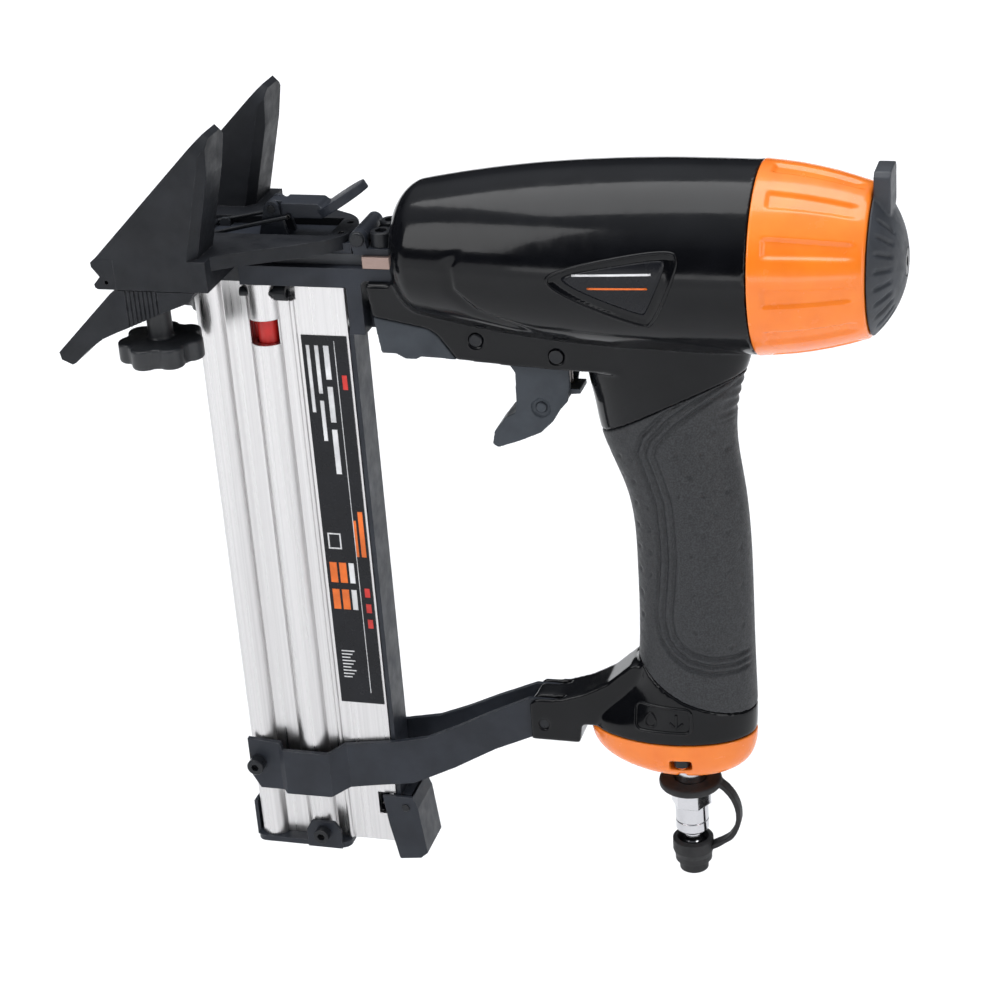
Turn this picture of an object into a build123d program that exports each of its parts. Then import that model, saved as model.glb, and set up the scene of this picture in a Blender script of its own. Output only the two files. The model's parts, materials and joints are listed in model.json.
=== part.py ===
from build123d import *
import os
from math import cos, radians, sin, sqrt

# A pneumatic flooring nailer, in millimetres.
# Frame: the origin is where a fastener leaves the nose, at the apex of the tongue notch. +X runs back along
# the driving axis to the exhaust, +Z is up away from the handle, and +Y is across the tool. The tool is
# built about the plane y = 0.

os.makedirs("parts", exist_ok=True)

# ---- driving dimensions ----
NOSE_BACK_X = 107.0       # rear end of the nose plates, inside the housing
FRONT_X = 104.0           # front face of the barrel
SEAM_X = 241.0            # barrel to cylinder cap
CAP_BACK_X = 281.0        # cylinder cap to exhaust deflector
BARREL_R = 35.0
CAP_BACK_R = 27.2
BORE_R = 24.0             # air space around the cylinder sleeve
THREAD_R = 31.5           # thread that joins cap and barrel
SLEEVE_R = 22.4
CYLINDER_R = 19.6
PISTON_R = 19.5
PISTON_X = 214.0
BLADE_HALF_W = 2.8        # half the width of the driver blade
BLADE_HALF_T = 0.6
DRIVER_TIP_X = 69.2

KEEL_HALF_W = 16.0        # trigger housing below the barrel
HANDLE_END_Z = -197.0
GRIP_HALF_W = 17.0
RUBBER = 3.0              # thickness of the rubber grip

SHOE_HALF_W = 41.4
WING_INNER_Y = 19.5
BAR_BOTTOM_Z = -5.0
BAR_TOP_Z = 6.9
BAR_BACK_X = 42.6
PLATE_BOTTOM_Z = 1.6
CHANNEL_HALF_W = 9.8      # gap in the shoe that the nose sits in
GUIDE_BACK_X = 6.0
BOARD = 12.7              # board thickness that the foot is stored at
FOOT_FORWARD = 2.5        # foot travel towards thicker boards
FOOT_BACK = 4.5           # foot travel towards thinner boards
KNOB_X = 16.2
KNOB_Y = 30.0
KNOB_R = 16.5
STUD_R = 2.5

MAG_TOP_Z = -12.6
MAG_BOTTOM_Z = -261.0
MAG_FRONT_X = 23.0
MAG_BACK_X = 82.8
MAG_HALF_W = 8.0
MAG_SLOT_HALF_W = 4.8
FASTENER_LENGTH = 38.0    # 1-1/2 in
CROWN_X = 68.5            # head end of the fasteners
BRACKET_HALF_W = 13.0
BOLT_Y = 9.2
BOLT_Z = -16.6

TRIGGER_PIVOT = (135.5, -30.3)
VALVE_X = 166.0
DOOR_PIVOT = (91.2, 6.4)
LATCH_PIVOT = (56.0, 15.0)
WIRE_PIVOT = (63.0, 12.6)
CATCH_PIVOT = (87.3, -243.0)
PLUG_X = 205.9
GAP = 0.3                 # between parts that move past each other
RUN = 0.06                # radial clearance of pins that turn

WING_LINE = -8.2          # x - z on the soles that rest on the subfloor
FOOT_LINE = WING_LINE + BOARD * sqrt(2)


def profile(points):
    """A closed outline in the sketch that is being built."""
    with BuildLine() as outline:
        Polyline(*points, close=True)
    make_face(outline.edges())


def side_plate(points, low_y, high_y, mode=Mode.ADD):
    """A plate with its outline in the XZ plane, from low_y to high_y."""
    with BuildSketch(Plane.XZ.offset(-high_y)) as outline:
        profile(points)
    extrude(outline.sketch, amount=high_y - low_y, mode=mode)


def block(x, y, z, mode=Mode.ADD):
    """A box from ranges along the three axes."""
    with BuildSketch(Plane.XY.offset(z[0])) as outline:
        with Locations(((x[0] + x[1]) / 2, (y[0] + y[1]) / 2)):
            Rectangle(x[1] - x[0], y[1] - y[0])
    extrude(outline.sketch, amount=z[1] - z[0], mode=mode)


def rod(plane, centre, r, length, mode=Mode.ADD):
    """A round bar standing on a plane."""
    with BuildSketch(plane) as disc:
        with Locations(centre):
            Circle(r)
    extrude(disc.sketch, amount=length, mode=mode)


def rod_x(y, z, r, low, high, mode=Mode.ADD):
    rod(Plane.YZ.offset(low), (y, z), r, high - low, mode)


def rod_y(x, z, r, low, high, mode=Mode.ADD):
    rod(Plane.XZ.offset(-high), (x, z), r, high - low, mode)


def rod_z(x, y, r, low, high, mode=Mode.ADD):
    rod(Plane.XY.offset(low), (x, y), r, high - low, mode)


def hex_bar(plane, centre, across_flats, length, mode=Mode.ADD):
    """A hexagonal bar standing on a plane."""
    with BuildSketch(plane) as outline:
        with Locations(centre):
            RegularPolygon(across_flats / sqrt(3), 6)
    extrude(outline.sketch, amount=length, mode=mode)


def hex_z(x, y, across_flats, low, high, mode=Mode.ADD):
    hex_bar(Plane.XY.offset(low), (x, y), across_flats, high - low, mode)


def hex_y(x, z, across_flats, low, high, mode=Mode.ADD):
    hex_bar(Plane.XZ.offset(-high), (x, z), across_flats, high - low, mode)


def ellipse_loft(sections, shrink=0.0, mode=Mode.ADD):
    """Loft through ellipses given as (z, centre x, half length, half width)."""
    rings = []
    for z, centre, half_l, half_w in sections:
        with BuildSketch(Plane.XY.offset(z)) as ring:
            with Locations((centre, 0)):
                Ellipse(half_l - shrink, half_w - shrink)
        rings.append(ring.sketch)
    loft(rings, mode=mode)


def spring(start, direction, radius, wire_r, height, pitch):
    """A coil of round wire that stands on the start point, along the direction."""
    with BuildLine() as coil:
        Helix(pitch, height, radius, center=start, direction=direction)
    with BuildSketch(Plane(origin=coil.line @ 0, z_dir=coil.line % 0)) as wire:
        Circle(wire_r)
    sweep(wire.sketch, path=coil.line, is_frenet=True)


# ---- handle and housing ----
# Handle sections at the rubber's outer surface: z, centre x, half length, half width.
HANDLE = [
    (-30.0, 203.0, 34.0, GRIP_HALF_W + 1.0),
    (-45.0, 203.0, 30.5, GRIP_HALF_W),
    (-57.0, 203.2, 27.2, GRIP_HALF_W),
    (-69.0, 203.7, 25.7, GRIP_HALF_W),
    (-92.0, 209.0, 22.8, GRIP_HALF_W),
    (-124.0, 211.4, 22.2, GRIP_HALF_W),
    (-157.0, 211.1, 22.6, GRIP_HALF_W),
    (-175.0, 209.2, 24.7, GRIP_HALF_W + 0.5),
    (-186.0, 204.5, 29.5, GRIP_HALF_W + 1.5),
    (HANDLE_END_Z, 200.2, 33.3, GRIP_HALF_W + 2.2),
]

with BuildPart() as handle_outer:
    ellipse_loft(HANDLE)

with BuildPart() as grip_sleeve:
    ellipse_loft(HANDLE)
    with BuildSketch(Plane.XZ):
        with BuildLine():
            Spline((160, -79), (178, -69.5), (204, -55.5), (245, -41))
            Line((245, -41), (245, -186))
            Spline((245, -186), (214, -180), (197, -171), (188, -164), (160, -160))
            Line((160, -160), (160, -79))
        make_face()
    extrude(amount=30, both=True, mode=Mode.INTERSECT)
    ellipse_loft(HANDLE, shrink=RUBBER, mode=Mode.SUBTRACT)
grip_sleeve.part.label = "grip_sleeve"
export_step(grip_sleeve.part, "parts/grip_sleeve.step")

LUG = (143.5, 159.0)      # front and slot end of the stay lug
LUG_HALF_W = 9.0
STAY_T = 2.0
STAY_LUG_Y = 6.1          # middle of each stay arm inside the lug
STAY_PIN = (149.0, -198.0)

with BuildPart() as housing:
    # barrel
    with BuildSketch(Plane.XZ):
        with BuildLine():
            Line((FRONT_X, 0), (FRONT_X, 12))
            ThreePointArc((FRONT_X, 12), (106.6, 20.4), (113, 25.6))
            Spline((113, 25.6), (143, 30.7), (174, 33.8), (207, 35.2), (SEAM_X, BARREL_R))
            Line((SEAM_X, BARREL_R), (SEAM_X, 0))
            Line((SEAM_X, 0), (FRONT_X, 0))
        make_face()
    revolve(axis=Axis.X)
    # trigger housing, with the chin under the nose plates
    side_plate([(94, -9.5), (95.9, -22.7), (117.1, -26.7), (120.9, -29.4), (127.4, -38.6), (150, -40.4),
                (176, -41.5), (190, -41.5), (190, -8), (104, -8), (104, -9.5)],
               -KEEL_HALF_W, KEEL_HALF_W)
    # handle, and the lug that holds the stay
    add(handle_outer.part)
    side_plate([(LUG[0], -205.5), (LUG[0], -189), (146, -186.6), (156, -186), (166, -182.5), (176, -177),
                (186, -168), (196, -168), (196, HANDLE_END_Z), (164.6, HANDLE_END_Z), (163.4, -205.5)],
               -LUG_HALF_W, LUG_HALF_W)
    # air space around the sleeve, valve chamber, and the thread for the cap
    rod_x(0, 0, BORE_R, 118, SEAM_X, mode=Mode.SUBTRACT)
    rod_x(0, 0, THREAD_R, 228, SEAM_X, mode=Mode.SUBTRACT)
    rod_x(0, 0, 4.2, NOSE_BACK_X - 1, 119, mode=Mode.SUBTRACT)
    # pocket for the nose plates
    block((FRONT_X - 1, NOSE_BACK_X + 0.1), (-BRACKET_HALF_W, BRACKET_HALF_W), (-9.5, 2.6),
          mode=Mode.SUBTRACT)
    # compressed air space in the handle
    with BuildSketch(Plane.XY.offset(HANDLE_END_Z)):
        with Locations((209, 0)):
            Ellipse(14, 9)
    extrude(amount=-HANDLE_END_Z - 18, mode=Mode.SUBTRACT)
    # trigger slot and valve bore
    side_plate([(129.8, -50), (129.8, -25.6), (141, -25.6), (149, -33), (160.4, -36.5), (171.6, -38),
                (175.5, -42), (175.5, -72), (140, -72)], -8.4, 8.4, mode=Mode.SUBTRACT)
    rod_z(VALVE_X, 0, 5.5, -45, -27.5, mode=Mode.SUBTRACT)
    rod_y(*TRIGGER_PIVOT, 2.5, -20, 20, mode=Mode.SUBTRACT)
    rod_y(VALVE_X, -35.5, 2.6, -20, 20, mode=Mode.SUBTRACT)
    # slots for the stay's arms, and the hole for its pin
    for side in (-1, 1):
        low, high = sorted((side * (STAY_LUG_Y - STAY_T / 2), side * (STAY_LUG_Y + STAY_T / 2)))
        block((LUG[0] - 1, LUG[1]), (low, high), (-206, -186), mode=Mode.SUBTRACT)
    rod_y(*STAY_PIN, 2.0, -LUG_HALF_W - 1, LUG_HALF_W + 1, mode=Mode.SUBTRACT)
    # the rubber sleeve takes its own space
    add(grip_sleeve.part, mode=Mode.SUBTRACT)
    # screws of the end cap
    for x, y in ((206, 14.2), (206, -14.2), (176, 0)):
        rod_z(x, y, 1.6, HANDLE_END_Z, HANDLE_END_Z + 14, mode=Mode.SUBTRACT)
housing.part.label = "housing"
export_step(housing.part, "parts/housing.step")

with BuildPart() as trigger_cover:
    side_plate([(96, -22.8), (98.1, -37.1), (103.7, -37.2), (107.2, -39.1), (111.6, -39.1), (113.7, -38),
                (127.2, -38.7), (120.8, -29.5), (117.1, -26.8)], -KEEL_HALF_W + 0.8, KEEL_HALF_W - 0.8)
    fillet(trigger_cover.edges().filter_by(GeomType.LINE).filter_by(Axis.Y).group_by(Axis.Z)[0], 0.6)
trigger_cover.part.label = "trigger_cover"
export_step(trigger_cover.part, "parts/trigger_cover.step")

# ---- cylinder cap and exhaust ----
FLUTES = 12
FLUTE_FIRST = -4.5        # degrees above -Y of one flute

with BuildPart() as flute_cutter:
    with BuildSketch(Plane.XZ):
        with Locations((262, 35.1)):
            SlotOverall(33, 7.5, rotation=-10)
    extrude(amount=2.4, both=True)
    fillet(flute_cutter.edges().filter_by(GeomType.LINE), 0.8)

with BuildPart() as cylinder_cap:
    with BuildSketch(Plane.XZ):
        with BuildLine():
            Line((SEAM_X, 0), (SEAM_X, 35.4))
            Spline((SEAM_X, 35.4), (254, 34.1), (267, 31.6), (CAP_BACK_X - 0.6, CAP_BACK_R + 0.4))
            Line((CAP_BACK_X - 0.6, CAP_BACK_R + 0.4), (CAP_BACK_X, CAP_BACK_R - 0.6))
            Line((CAP_BACK_X, CAP_BACK_R - 0.6), (CAP_BACK_X, 0))
            Line((CAP_BACK_X, 0), (SEAM_X, 0))
        make_face()
    revolve(axis=Axis.X)
    rod_x(0, 0, THREAD_R, 228, SEAM_X)
    rod_x(0, 0, 28.2, 228, 253, mode=Mode.SUBTRACT)
    with Locations(Plane.YZ.offset(CAP_BACK_X)):
        with PolarLocations(15, 6):
            Hole(3.2)
        Hole(2.5)
    for k in range(FLUTES):
        add(flute_cutter.part.rotate(Axis.X, 90 - FLUTE_FIRST + k * 360 / FLUTES), mode=Mode.SUBTRACT)
cylinder_cap.part.label = "cylinder_cap"
export_step(cylinder_cap.part, "parts/cylinder_cap.step")

DOME_X = CAP_BACK_X + GAP
with BuildPart() as exhaust_deflector:
    with BuildSketch(Plane.XZ):
        with BuildLine():
            Line((DOME_X, 0), (DOME_X, 27.1))
            ThreePointArc((DOME_X, 27.1), (288.6, 17.6), (292.8, 0))
            Line((292.8, 0), (DOME_X, 0))
        make_face()
    revolve(axis=Axis.X)
    with BuildSketch(Plane.XZ):
        with BuildLine():
            Line((DOME_X, 6), (DOME_X, 24.6))
            ThreePointArc((DOME_X, 24.6), (286.6, 16), (289.6, 6))
            Line((289.6, 6), (DOME_X, 6))
        make_face()
    revolve(axis=Axis.X, mode=Mode.SUBTRACT)
    # hood over the exhaust outlet
    with BuildSketch(Plane.YZ.offset(281.6)):
        profile([(-8, 33), (-6, 35), (6, 35), (8, 33), (8, 20.5), (0, 15), (-8, 20.5)])
    extrude(amount=6)
    block((DOME_X + 0.4, 286), (-5.6, 5.6), (17, 32.4), mode=Mode.SUBTRACT)
    rod_x(0, 0, 5.2, 290.0, 294, mode=Mode.SUBTRACT)
    rod_x(0, 0, 2.5 + RUN, 280, 294, mode=Mode.SUBTRACT)
exhaust_deflector.part.label = "exhaust_deflector"
export_step(exhaust_deflector.part, "parts/exhaust_deflector.step")

with BuildPart() as deflector_screw:
    rod_x(0, 0, 2.5, 262, 291)
    rod_x(0, 0, 4.8, 290.3, 292.4)
    with BuildSketch(Plane.YZ.offset(291.2)):
        RegularPolygon(2.2, 6)
    extrude(amount=2, mode=Mode.SUBTRACT)
deflector_screw.part.label = "deflector_screw"
export_step(deflector_screw.part, "parts/deflector_screw.step")

# ---- cylinder, piston and valves ----
with BuildPart() as cylinder_sleeve:
    rod_x(0, 0, SLEEVE_R, 118, 227.6)
    rod_x(0, 0, CYLINDER_R, 117, 228, mode=Mode.SUBTRACT)
    with Locations(Plane.YZ.offset(152)):
        with PolarLocations(SLEEVE_R - 1, 8):
            Box(2.4, 8, 3, mode=Mode.SUBTRACT)
cylinder_sleeve.part.label = "cylinder_sleeve"
export_step(cylinder_sleeve.part, "parts/cylinder_sleeve.step")

with BuildPart() as bumper:
    with BuildSketch(Plane.XZ):
        profile([(118.1, 6), (118.1, CYLINDER_R), (126, CYLINDER_R), (142, 17.6), (145, 14), (145, 6)])
    revolve(axis=Axis.X)
bumper.part.label = "bumper"
export_step(bumper.part, "parts/bumper.step")

with BuildPart() as piston:
    rod_x(0, 0, PISTON_R, PISTON_X, PISTON_X + 10)
    rod_x(0, 0, 13, PISTON_X + 6, PISTON_X + 11, mode=Mode.SUBTRACT)
    with BuildSketch(Plane.XZ):
        with Locations((PISTON_X + 4, PISTON_R - 0.6)):
            Rectangle(2.6, 3.6)
    revolve(axis=Axis.X, mode=Mode.SUBTRACT)
    block((PISTON_X - 1, PISTON_X + 4), (-BLADE_HALF_W, BLADE_HALF_W), (-BLADE_HALF_T, BLADE_HALF_T),
          mode=Mode.SUBTRACT)
piston.part.label = "piston"
export_step(piston.part, "parts/piston.step")

with BuildPart() as piston_ring:
    with BuildSketch(Plane.XZ):
        with Locations((PISTON_X + 4, PISTON_R - 1.1)):
            Rectangle(2.4, 2.3)
    revolve(axis=Axis.X)
piston_ring.part.label = "piston_ring"
export_step(piston_ring.part, "parts/piston_ring.step")

with BuildPart() as driver_blade:
    block((DRIVER_TIP_X, PISTON_X + 4), (-BLADE_HALF_W, BLADE_HALF_W), (-BLADE_HALF_T, BLADE_HALF_T))
driver_blade.part.label = "driver_blade"
export_step(driver_blade.part, "parts/driver_blade.step")

with BuildPart() as head_valve:
    rod_x(0, 0, 27.9, 228, 239)
    rod_x(0, 0, 24, 232, 240, mode=Mode.SUBTRACT)
    rod_x(0, 0, 10, 228, 236)
    rod_x(0, 0, 7, 227, 240, mode=Mode.SUBTRACT)
head_valve.part.label = "head_valve"
export_step(head_valve.part, "parts/head_valve.step")

with BuildPart() as head_valve_spring:
    spring((233.4, 0, 0), (1, 0, 0), 17, 1.0, 18, 4.5)
head_valve_spring.part.label = "head_valve_spring"
export_step(head_valve_spring.part, "parts/head_valve_spring.step")

with BuildPart() as valve_sleeve:
    rod_z(VALVE_X, 0, 5.5, -44, -27.6)
    rod_z(VALVE_X, 0, 3.4, -41, -29.5, mode=Mode.SUBTRACT)
    rod_z(VALVE_X, 0, 1.6 + RUN, -45, -40, mode=Mode.SUBTRACT)
valve_sleeve.part.label = "valve_sleeve"
export_step(valve_sleeve.part, "parts/valve_sleeve.step")

with BuildPart() as valve_stem:
    rod_z(VALVE_X, 0, 1.6, -52, -38)
    rod_z(VALVE_X, 0, 3.0, -40.5, -36.5)
valve_stem.part.label = "valve_stem"
export_step(valve_stem.part, "parts/valve_stem.step")

with BuildPart() as valve_pins:
    for side in (-1, 1):
        low, high = sorted((side * 8.6, side * (KEEL_HALF_W + 0.2)))
        rod_y(VALVE_X, -35.5, 2.6, low, high)
valve_pins.part.label = "valve_pins"
export_step(valve_pins.part, "parts/valve_pins.step")

# ---- trigger ----
TRIGGER_FRONT = [(147.3, -46), (147.1, -57.1), (146.3, -62.4), (142.2, -64.7), (137.6, -70.6), (136.6, -75.8),
                 (138.6, -77.2)]
TRIGGER_REAR = [(147.5, -74), (155.9, -70.2), (160.9, -65.4), (163.5, -61), (167, -57), (168.3, -51),
                (168.3, -43.6), (160, -42), (148, -36.5), (143, -32), (138.4, -28)]
LEVER_PIN = (156.6, -59.9)

with BuildPart() as trigger:
    side_plate([(133.4, -33.4), (143, -39)] + TRIGGER_FRONT + TRIGGER_REAR, -8, 8)
    rod_y(*TRIGGER_PIVOT, 3.9, -8, 8)
    side_plate([(128, -20), (128, -44), (149.6, -44), (149.4, -57.4), (148.4, -64), (143.6, -67), (140.6, -72),
                (140.6, -73.8), (147, -71.4), (154.6, -68), (159, -63.8), (161.5, -60), (180, -52), (180, -20)],
               -6, 6, mode=Mode.SUBTRACT)
    rod_y(*TRIGGER_PIVOT, 2.5 + RUN, -9, 9, mode=Mode.SUBTRACT)
    rod_y(*LEVER_PIN, 2.0, -9, 9, mode=Mode.SUBTRACT)
    for low, high in ((-9, -7), (7, 9)):
        rod_y(*LEVER_PIN, 3.8, low, high, mode=Mode.SUBTRACT)
trigger.part.label = "trigger"
export_step(trigger.part, "parts/trigger.step")

with BuildPart() as trigger_pin:
    rod_y(*TRIGGER_PIVOT, 2.5, -KEEL_HALF_W - 0.2, KEEL_HALF_W + 0.2)
    chamfer(trigger_pin.edges(), 0.4)
trigger_pin.part.label = "trigger_pin"
export_step(trigger_pin.part, "parts/trigger_pin.step")

with BuildPart() as lever_pin:
    rod_y(*LEVER_PIN, 2.0, -7.7, 7.7)
    chamfer(lever_pin.edges(), 0.3)
lever_pin.part.label = "lever_pin"
export_step(lever_pin.part, "parts/lever_pin.step")

with BuildPart() as trigger_lever:
    side_plate([(152.9, -60.6), (152.9, -57.6), (162, -52.8), (171.4, -52.8), (171.4, -54.6), (163, -55.4),
                (159.4, -61.6), (156, -63)], -5, 5)
    block((158.8, 175), (-3.2, 3.2), (-62, -55.6), mode=Mode.SUBTRACT)
    rod_y(*LEVER_PIN, 2.0, -6, 6, mode=Mode.SUBTRACT)
trigger_lever.part.label = "trigger_lever"
export_step(trigger_lever.part, "parts/trigger_lever.step")

with BuildPart() as trigger_spring:
    spring((TRIGGER_PIVOT[0], 5.2, TRIGGER_PIVOT[1]), (0, -1, 0), 3.5, 0.4, 10.4, 1.3)
trigger_spring.part.label = "trigger_spring"
export_step(trigger_spring.part, "parts/trigger_spring.step")

# ---- nose ----
with BuildPart() as nose_base:
    block((GUIDE_BACK_X + GAP, NOSE_BACK_X), (-9.5, 9.5), (-4.5, 0))
    block((20, 43.1), (-9.5, 9.5), (-12.4, -4.4))
    block((93, NOSE_BACK_X), (-12.9, 12.9), (-4.5, 0))
    # ears that the latch wire hooks in front of
    for side in (-1, 1):
        low, high = sorted((side * 6.0, side * 7.4))
        side_plate([(29.8, -0.5), (29.8, 5.4), (31, 7), (33.4, 7), (34, 5.8), (34, -0.5)], low, high)
    # driver channel, fastener slot and screw holes
    block((0, 110), (-3.1, 3.1), (-0.9, 1), mode=Mode.SUBTRACT)
    block((CROWN_X - FASTENER_LENGTH - 0.5, CROWN_X + 0.5), (-3.0, 3.0), (-13, 0), mode=Mode.SUBTRACT)
    for y in (-6, 6):
        rod_z(99.2, y, 2.5, -5, 1, mode=Mode.SUBTRACT)
nose_base.part.label = "nose_base"
export_step(nose_base.part, "parts/nose_base.step")

with BuildPart() as nose_bracket:
    side_plate([(43.2, -12.4), (85.6, -12.4), (85.6, -31), (91.6, -31), (91.6, -9.4), (NOSE_BACK_X, -9.4),
                (NOSE_BACK_X, -4.6), (43.2, -4.6)], -BRACKET_HALF_W, BRACKET_HALF_W)
    edges = nose_bracket.edges().filter_by(Axis.Y)
    fillet(edges.filter_by_position(Axis.X, 91, 92).sort_by(Axis.Z)[-1], 2.0)
    block((40, CROWN_X + 0.5), (-3.0, 3.0), (-13, 0), mode=Mode.SUBTRACT)
    for y in (-6, 6):
        rod_z(99.2, y, 2.5, -10, 0, mode=Mode.SUBTRACT)
nose_bracket.part.label = "nose_bracket"
export_step(nose_bracket.part, "parts/nose_bracket.step")

with BuildPart() as bracket_link:
    side_plate([(91.6, -23), (95.8, -23.6), (96.8, -31), (91.6, -31)], -5, 5)
bracket_link.part.label = "bracket_link"
export_step(bracket_link.part, "parts/bracket_link.step")

with BuildPart() as hinge_block:
    block((94.4, FRONT_X - 0.2), (-11, 11), (0.02, 2.6))
    for side in (-1, 1):
        low, high = sorted((side * 7.3, side * 11))
        side_plate([(89.4, 0.05), (88.2, 5.6), (93.6, 8.2), (94.8, 2.4), (96.5, 0.05)], low, high)
        rod_y(*DOOR_PIVOT, 3.1, low, high)
    rod_y(*DOOR_PIVOT, 2.0, -12, 12, mode=Mode.SUBTRACT)
    block((90, 110), (-3.1, 3.1), (0, 0.9), mode=Mode.SUBTRACT)
    for y in (-6, 6):
        rod_z(99.2, y, 2.5, -1, 3, mode=Mode.SUBTRACT)
hinge_block.part.label = "hinge_block"
export_step(hinge_block.part, "parts/hinge_block.step")

with BuildPart() as nose_screws:
    for y in (-6, 6):
        rod_z(99.2, y, 2.5, -9.3, 3)
        rod_z(99.2, y, 4.2, 2.65, 8.4)
    chamfer(nose_screws.edges().filter_by(GeomType.CIRCLE).group_by(Axis.Z)[-1], 0.5)
    for y in (-6, 6):
        hex_z(99.2, y, 4.4, 5.4, 9, mode=Mode.SUBTRACT)
nose_screws.part.label = "nose_screws"
export_step(nose_screws.part, "parts/nose_screws.step")

with BuildPart() as hinge_pin:
    rod_y(*DOOR_PIVOT, 2.0, -11.2, 12)
    rod_y(*DOOR_PIVOT, 2.9, -12.4, -11.1)
    fillet(hinge_pin.edges().filter_by(GeomType.CIRCLE).group_by(Axis.Y)[0], 0.8)
hinge_pin.part.label = "hinge_pin"
export_step(hinge_pin.part, "parts/hinge_pin.step")

with BuildPart() as nose_door:
    block((GUIDE_BACK_X + GAP, 88), (-9.4, 9.4), (0.1, 4.0))
    side_plate([(84, 0.1), (84, 4), (87.9, 4), (88.1, 6.4), (94.2, 7), (93, 3.2), (90.6, 0.6)], -7, 7)
    rod_y(*DOOR_PIVOT, 3.1, -7, 7)
    rod_y(*DOOR_PIVOT, 2.0 + RUN, -8, 8, mode=Mode.SUBTRACT)
    block((0, 96), (-3.1, 3.1), (0, 0.9), mode=Mode.SUBTRACT)
    for low, high in ((-10, -5.7), (5.7, 10)):
        block((28.6, 34.4), (low, high), (0, 5), mode=Mode.SUBTRACT)
    # ears of the latch
    for side in (-1, 1):
        low, high = sorted((side * 3.1, side * 4.8))
        side_plate([(50, 3.9), (53.2, 16), (58.8, 16), (62, 3.9)], low, high)
        rod_y(*LATCH_PIVOT, 3.0, low, high)
    rod_y(*LATCH_PIVOT, 1.5, -5, 5, mode=Mode.SUBTRACT)
    for y in (-5.6, 5.6):
        rod_z(83.2, y, 1.5, 1, 5, mode=Mode.SUBTRACT)
nose_door.part.label = "nose_door"
export_step(nose_door.part, "parts/nose_door.step")

with BuildPart() as latch_pin:
    rod_y(*LATCH_PIVOT, 1.5, -5.3, 5.3)
latch_pin.part.label = "latch_pin"
export_step(latch_pin.part, "parts/latch_pin.step")

PADDLE_TILT = 32.0
PADDLE_DIR = (cos(radians(PADDLE_TILT)), 0, sin(radians(PADDLE_TILT)))
PADDLE_UP = (-sin(radians(PADDLE_TILT)), 0, cos(radians(PADDLE_TILT)))

with BuildPart() as latch_lever:
    rod_y(*LATCH_PIVOT, 2.9, -2.8, 2.8)
    side_plate([(56, 12.1), (60.5, 11.9), (60.5, 17.6), (56, 17.9)], -2.8, 2.8)
    side_plate([(60.2, 11.9), (76.2, 11.9), (78.5, 14.6), (74.5, 17.5), (60.2, 17.6)], -5.3, 5.3)
    with BuildSketch(Plane(origin=(82.8, 0, 18.0), x_dir=PADDLE_DIR, z_dir=PADDLE_UP)):
        Ellipse(11.6, 7.6)
    extrude(amount=1.7, both=True)
    rod_y(*LATCH_PIVOT, 1.5 + RUN, -4, 4, mode=Mode.SUBTRACT)
    rod_y(*WIRE_PIVOT, 0.8 + RUN, -6, 6, mode=Mode.SUBTRACT)
latch_lever.part.label = "latch_lever"
export_step(latch_lever.part, "parts/latch_lever.step")

WIRE_FRONT = (28.2, 5.1)
with BuildPart() as latch_wire:
    with BuildLine() as wire_path:
        Polyline((WIRE_PIVOT[0], -3.6, WIRE_PIVOT[1]), (WIRE_PIVOT[0], -6.6, WIRE_PIVOT[1]),
                 (WIRE_FRONT[0], -8.5, WIRE_FRONT[1]), (WIRE_FRONT[0], 8.5, WIRE_FRONT[1]),
                 (WIRE_PIVOT[0], 6.6, WIRE_PIVOT[1]), (WIRE_PIVOT[0], 3.6, WIRE_PIVOT[1]))
    with BuildSketch(Plane(origin=(WIRE_PIVOT[0], -3.6, WIRE_PIVOT[1]), z_dir=(0, -1, 0))):
        Circle(0.8)
    sweep(path=wire_path.wires()[0], transition=Transition.ROUND)
latch_wire.part.label = "latch_wire"
export_step(latch_wire.part, "parts/latch_wire.step")

# ---- flooring shoe ----
WING_TIP = (46.0, 46.0 - WING_LINE)
WING_FRONT_X = BAR_TOP_Z + WING_LINE
WING_LENGTH = (WING_TIP[0] - WING_FRONT_X) * sqrt(2)
SOLE = Plane(origin=(WING_FRONT_X, 0, BAR_TOP_Z), x_dir=(1, 0, 1), z_dir=(-1, 0, 1))

with BuildPart() as wing:
    side_plate([(WING_FRONT_X, BAR_TOP_Z), WING_TIP, (47.9, 52.5), (46.2, 38.2), (38.7, BAR_TOP_Z)],
               WING_INNER_Y, SHOE_HALF_W)
    with BuildSketch(SOLE):
        with Locations((WING_LENGTH / 2 - 20, -(WING_INNER_Y + SHOE_HALF_W) / 2)):
            RectangleRounded(WING_LENGTH + 41, SHOE_HALF_W - WING_INNER_Y, 8)
        with Locations((WING_LENGTH / 2 - 20, (WING_INNER_Y + SHOE_HALF_W) / 2)):
            RectangleRounded(WING_LENGTH + 41, SHOE_HALF_W - WING_INNER_Y, 8)
    extrude(amount=60, both=True, mode=Mode.INTERSECT)
    # chamfers down both rear edges
    with BuildSketch(Plane(origin=(38.7, 0, BAR_TOP_Z), x_dir=(0, 1, 0), z_dir=(7.5, 0, 31.3))):
        with BuildLine():
            Polyline((WING_INNER_Y - 1, 130), (WING_INNER_Y - 1, 4.2), (WING_INNER_Y + 4.2, -1),
                     (SHOE_HALF_W - 4.2, -1), (SHOE_HALF_W + 1, 4.2), (SHOE_HALF_W + 1, 130), close=True)
        make_face()
    extrude(amount=90, both=True, mode=Mode.INTERSECT)

PLATE_EDGE = [(36, SHOE_HALF_W), (42.6, 36.2), (48.8, 31.6), (68.7, 21.4), (80, 14.9)]

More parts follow.
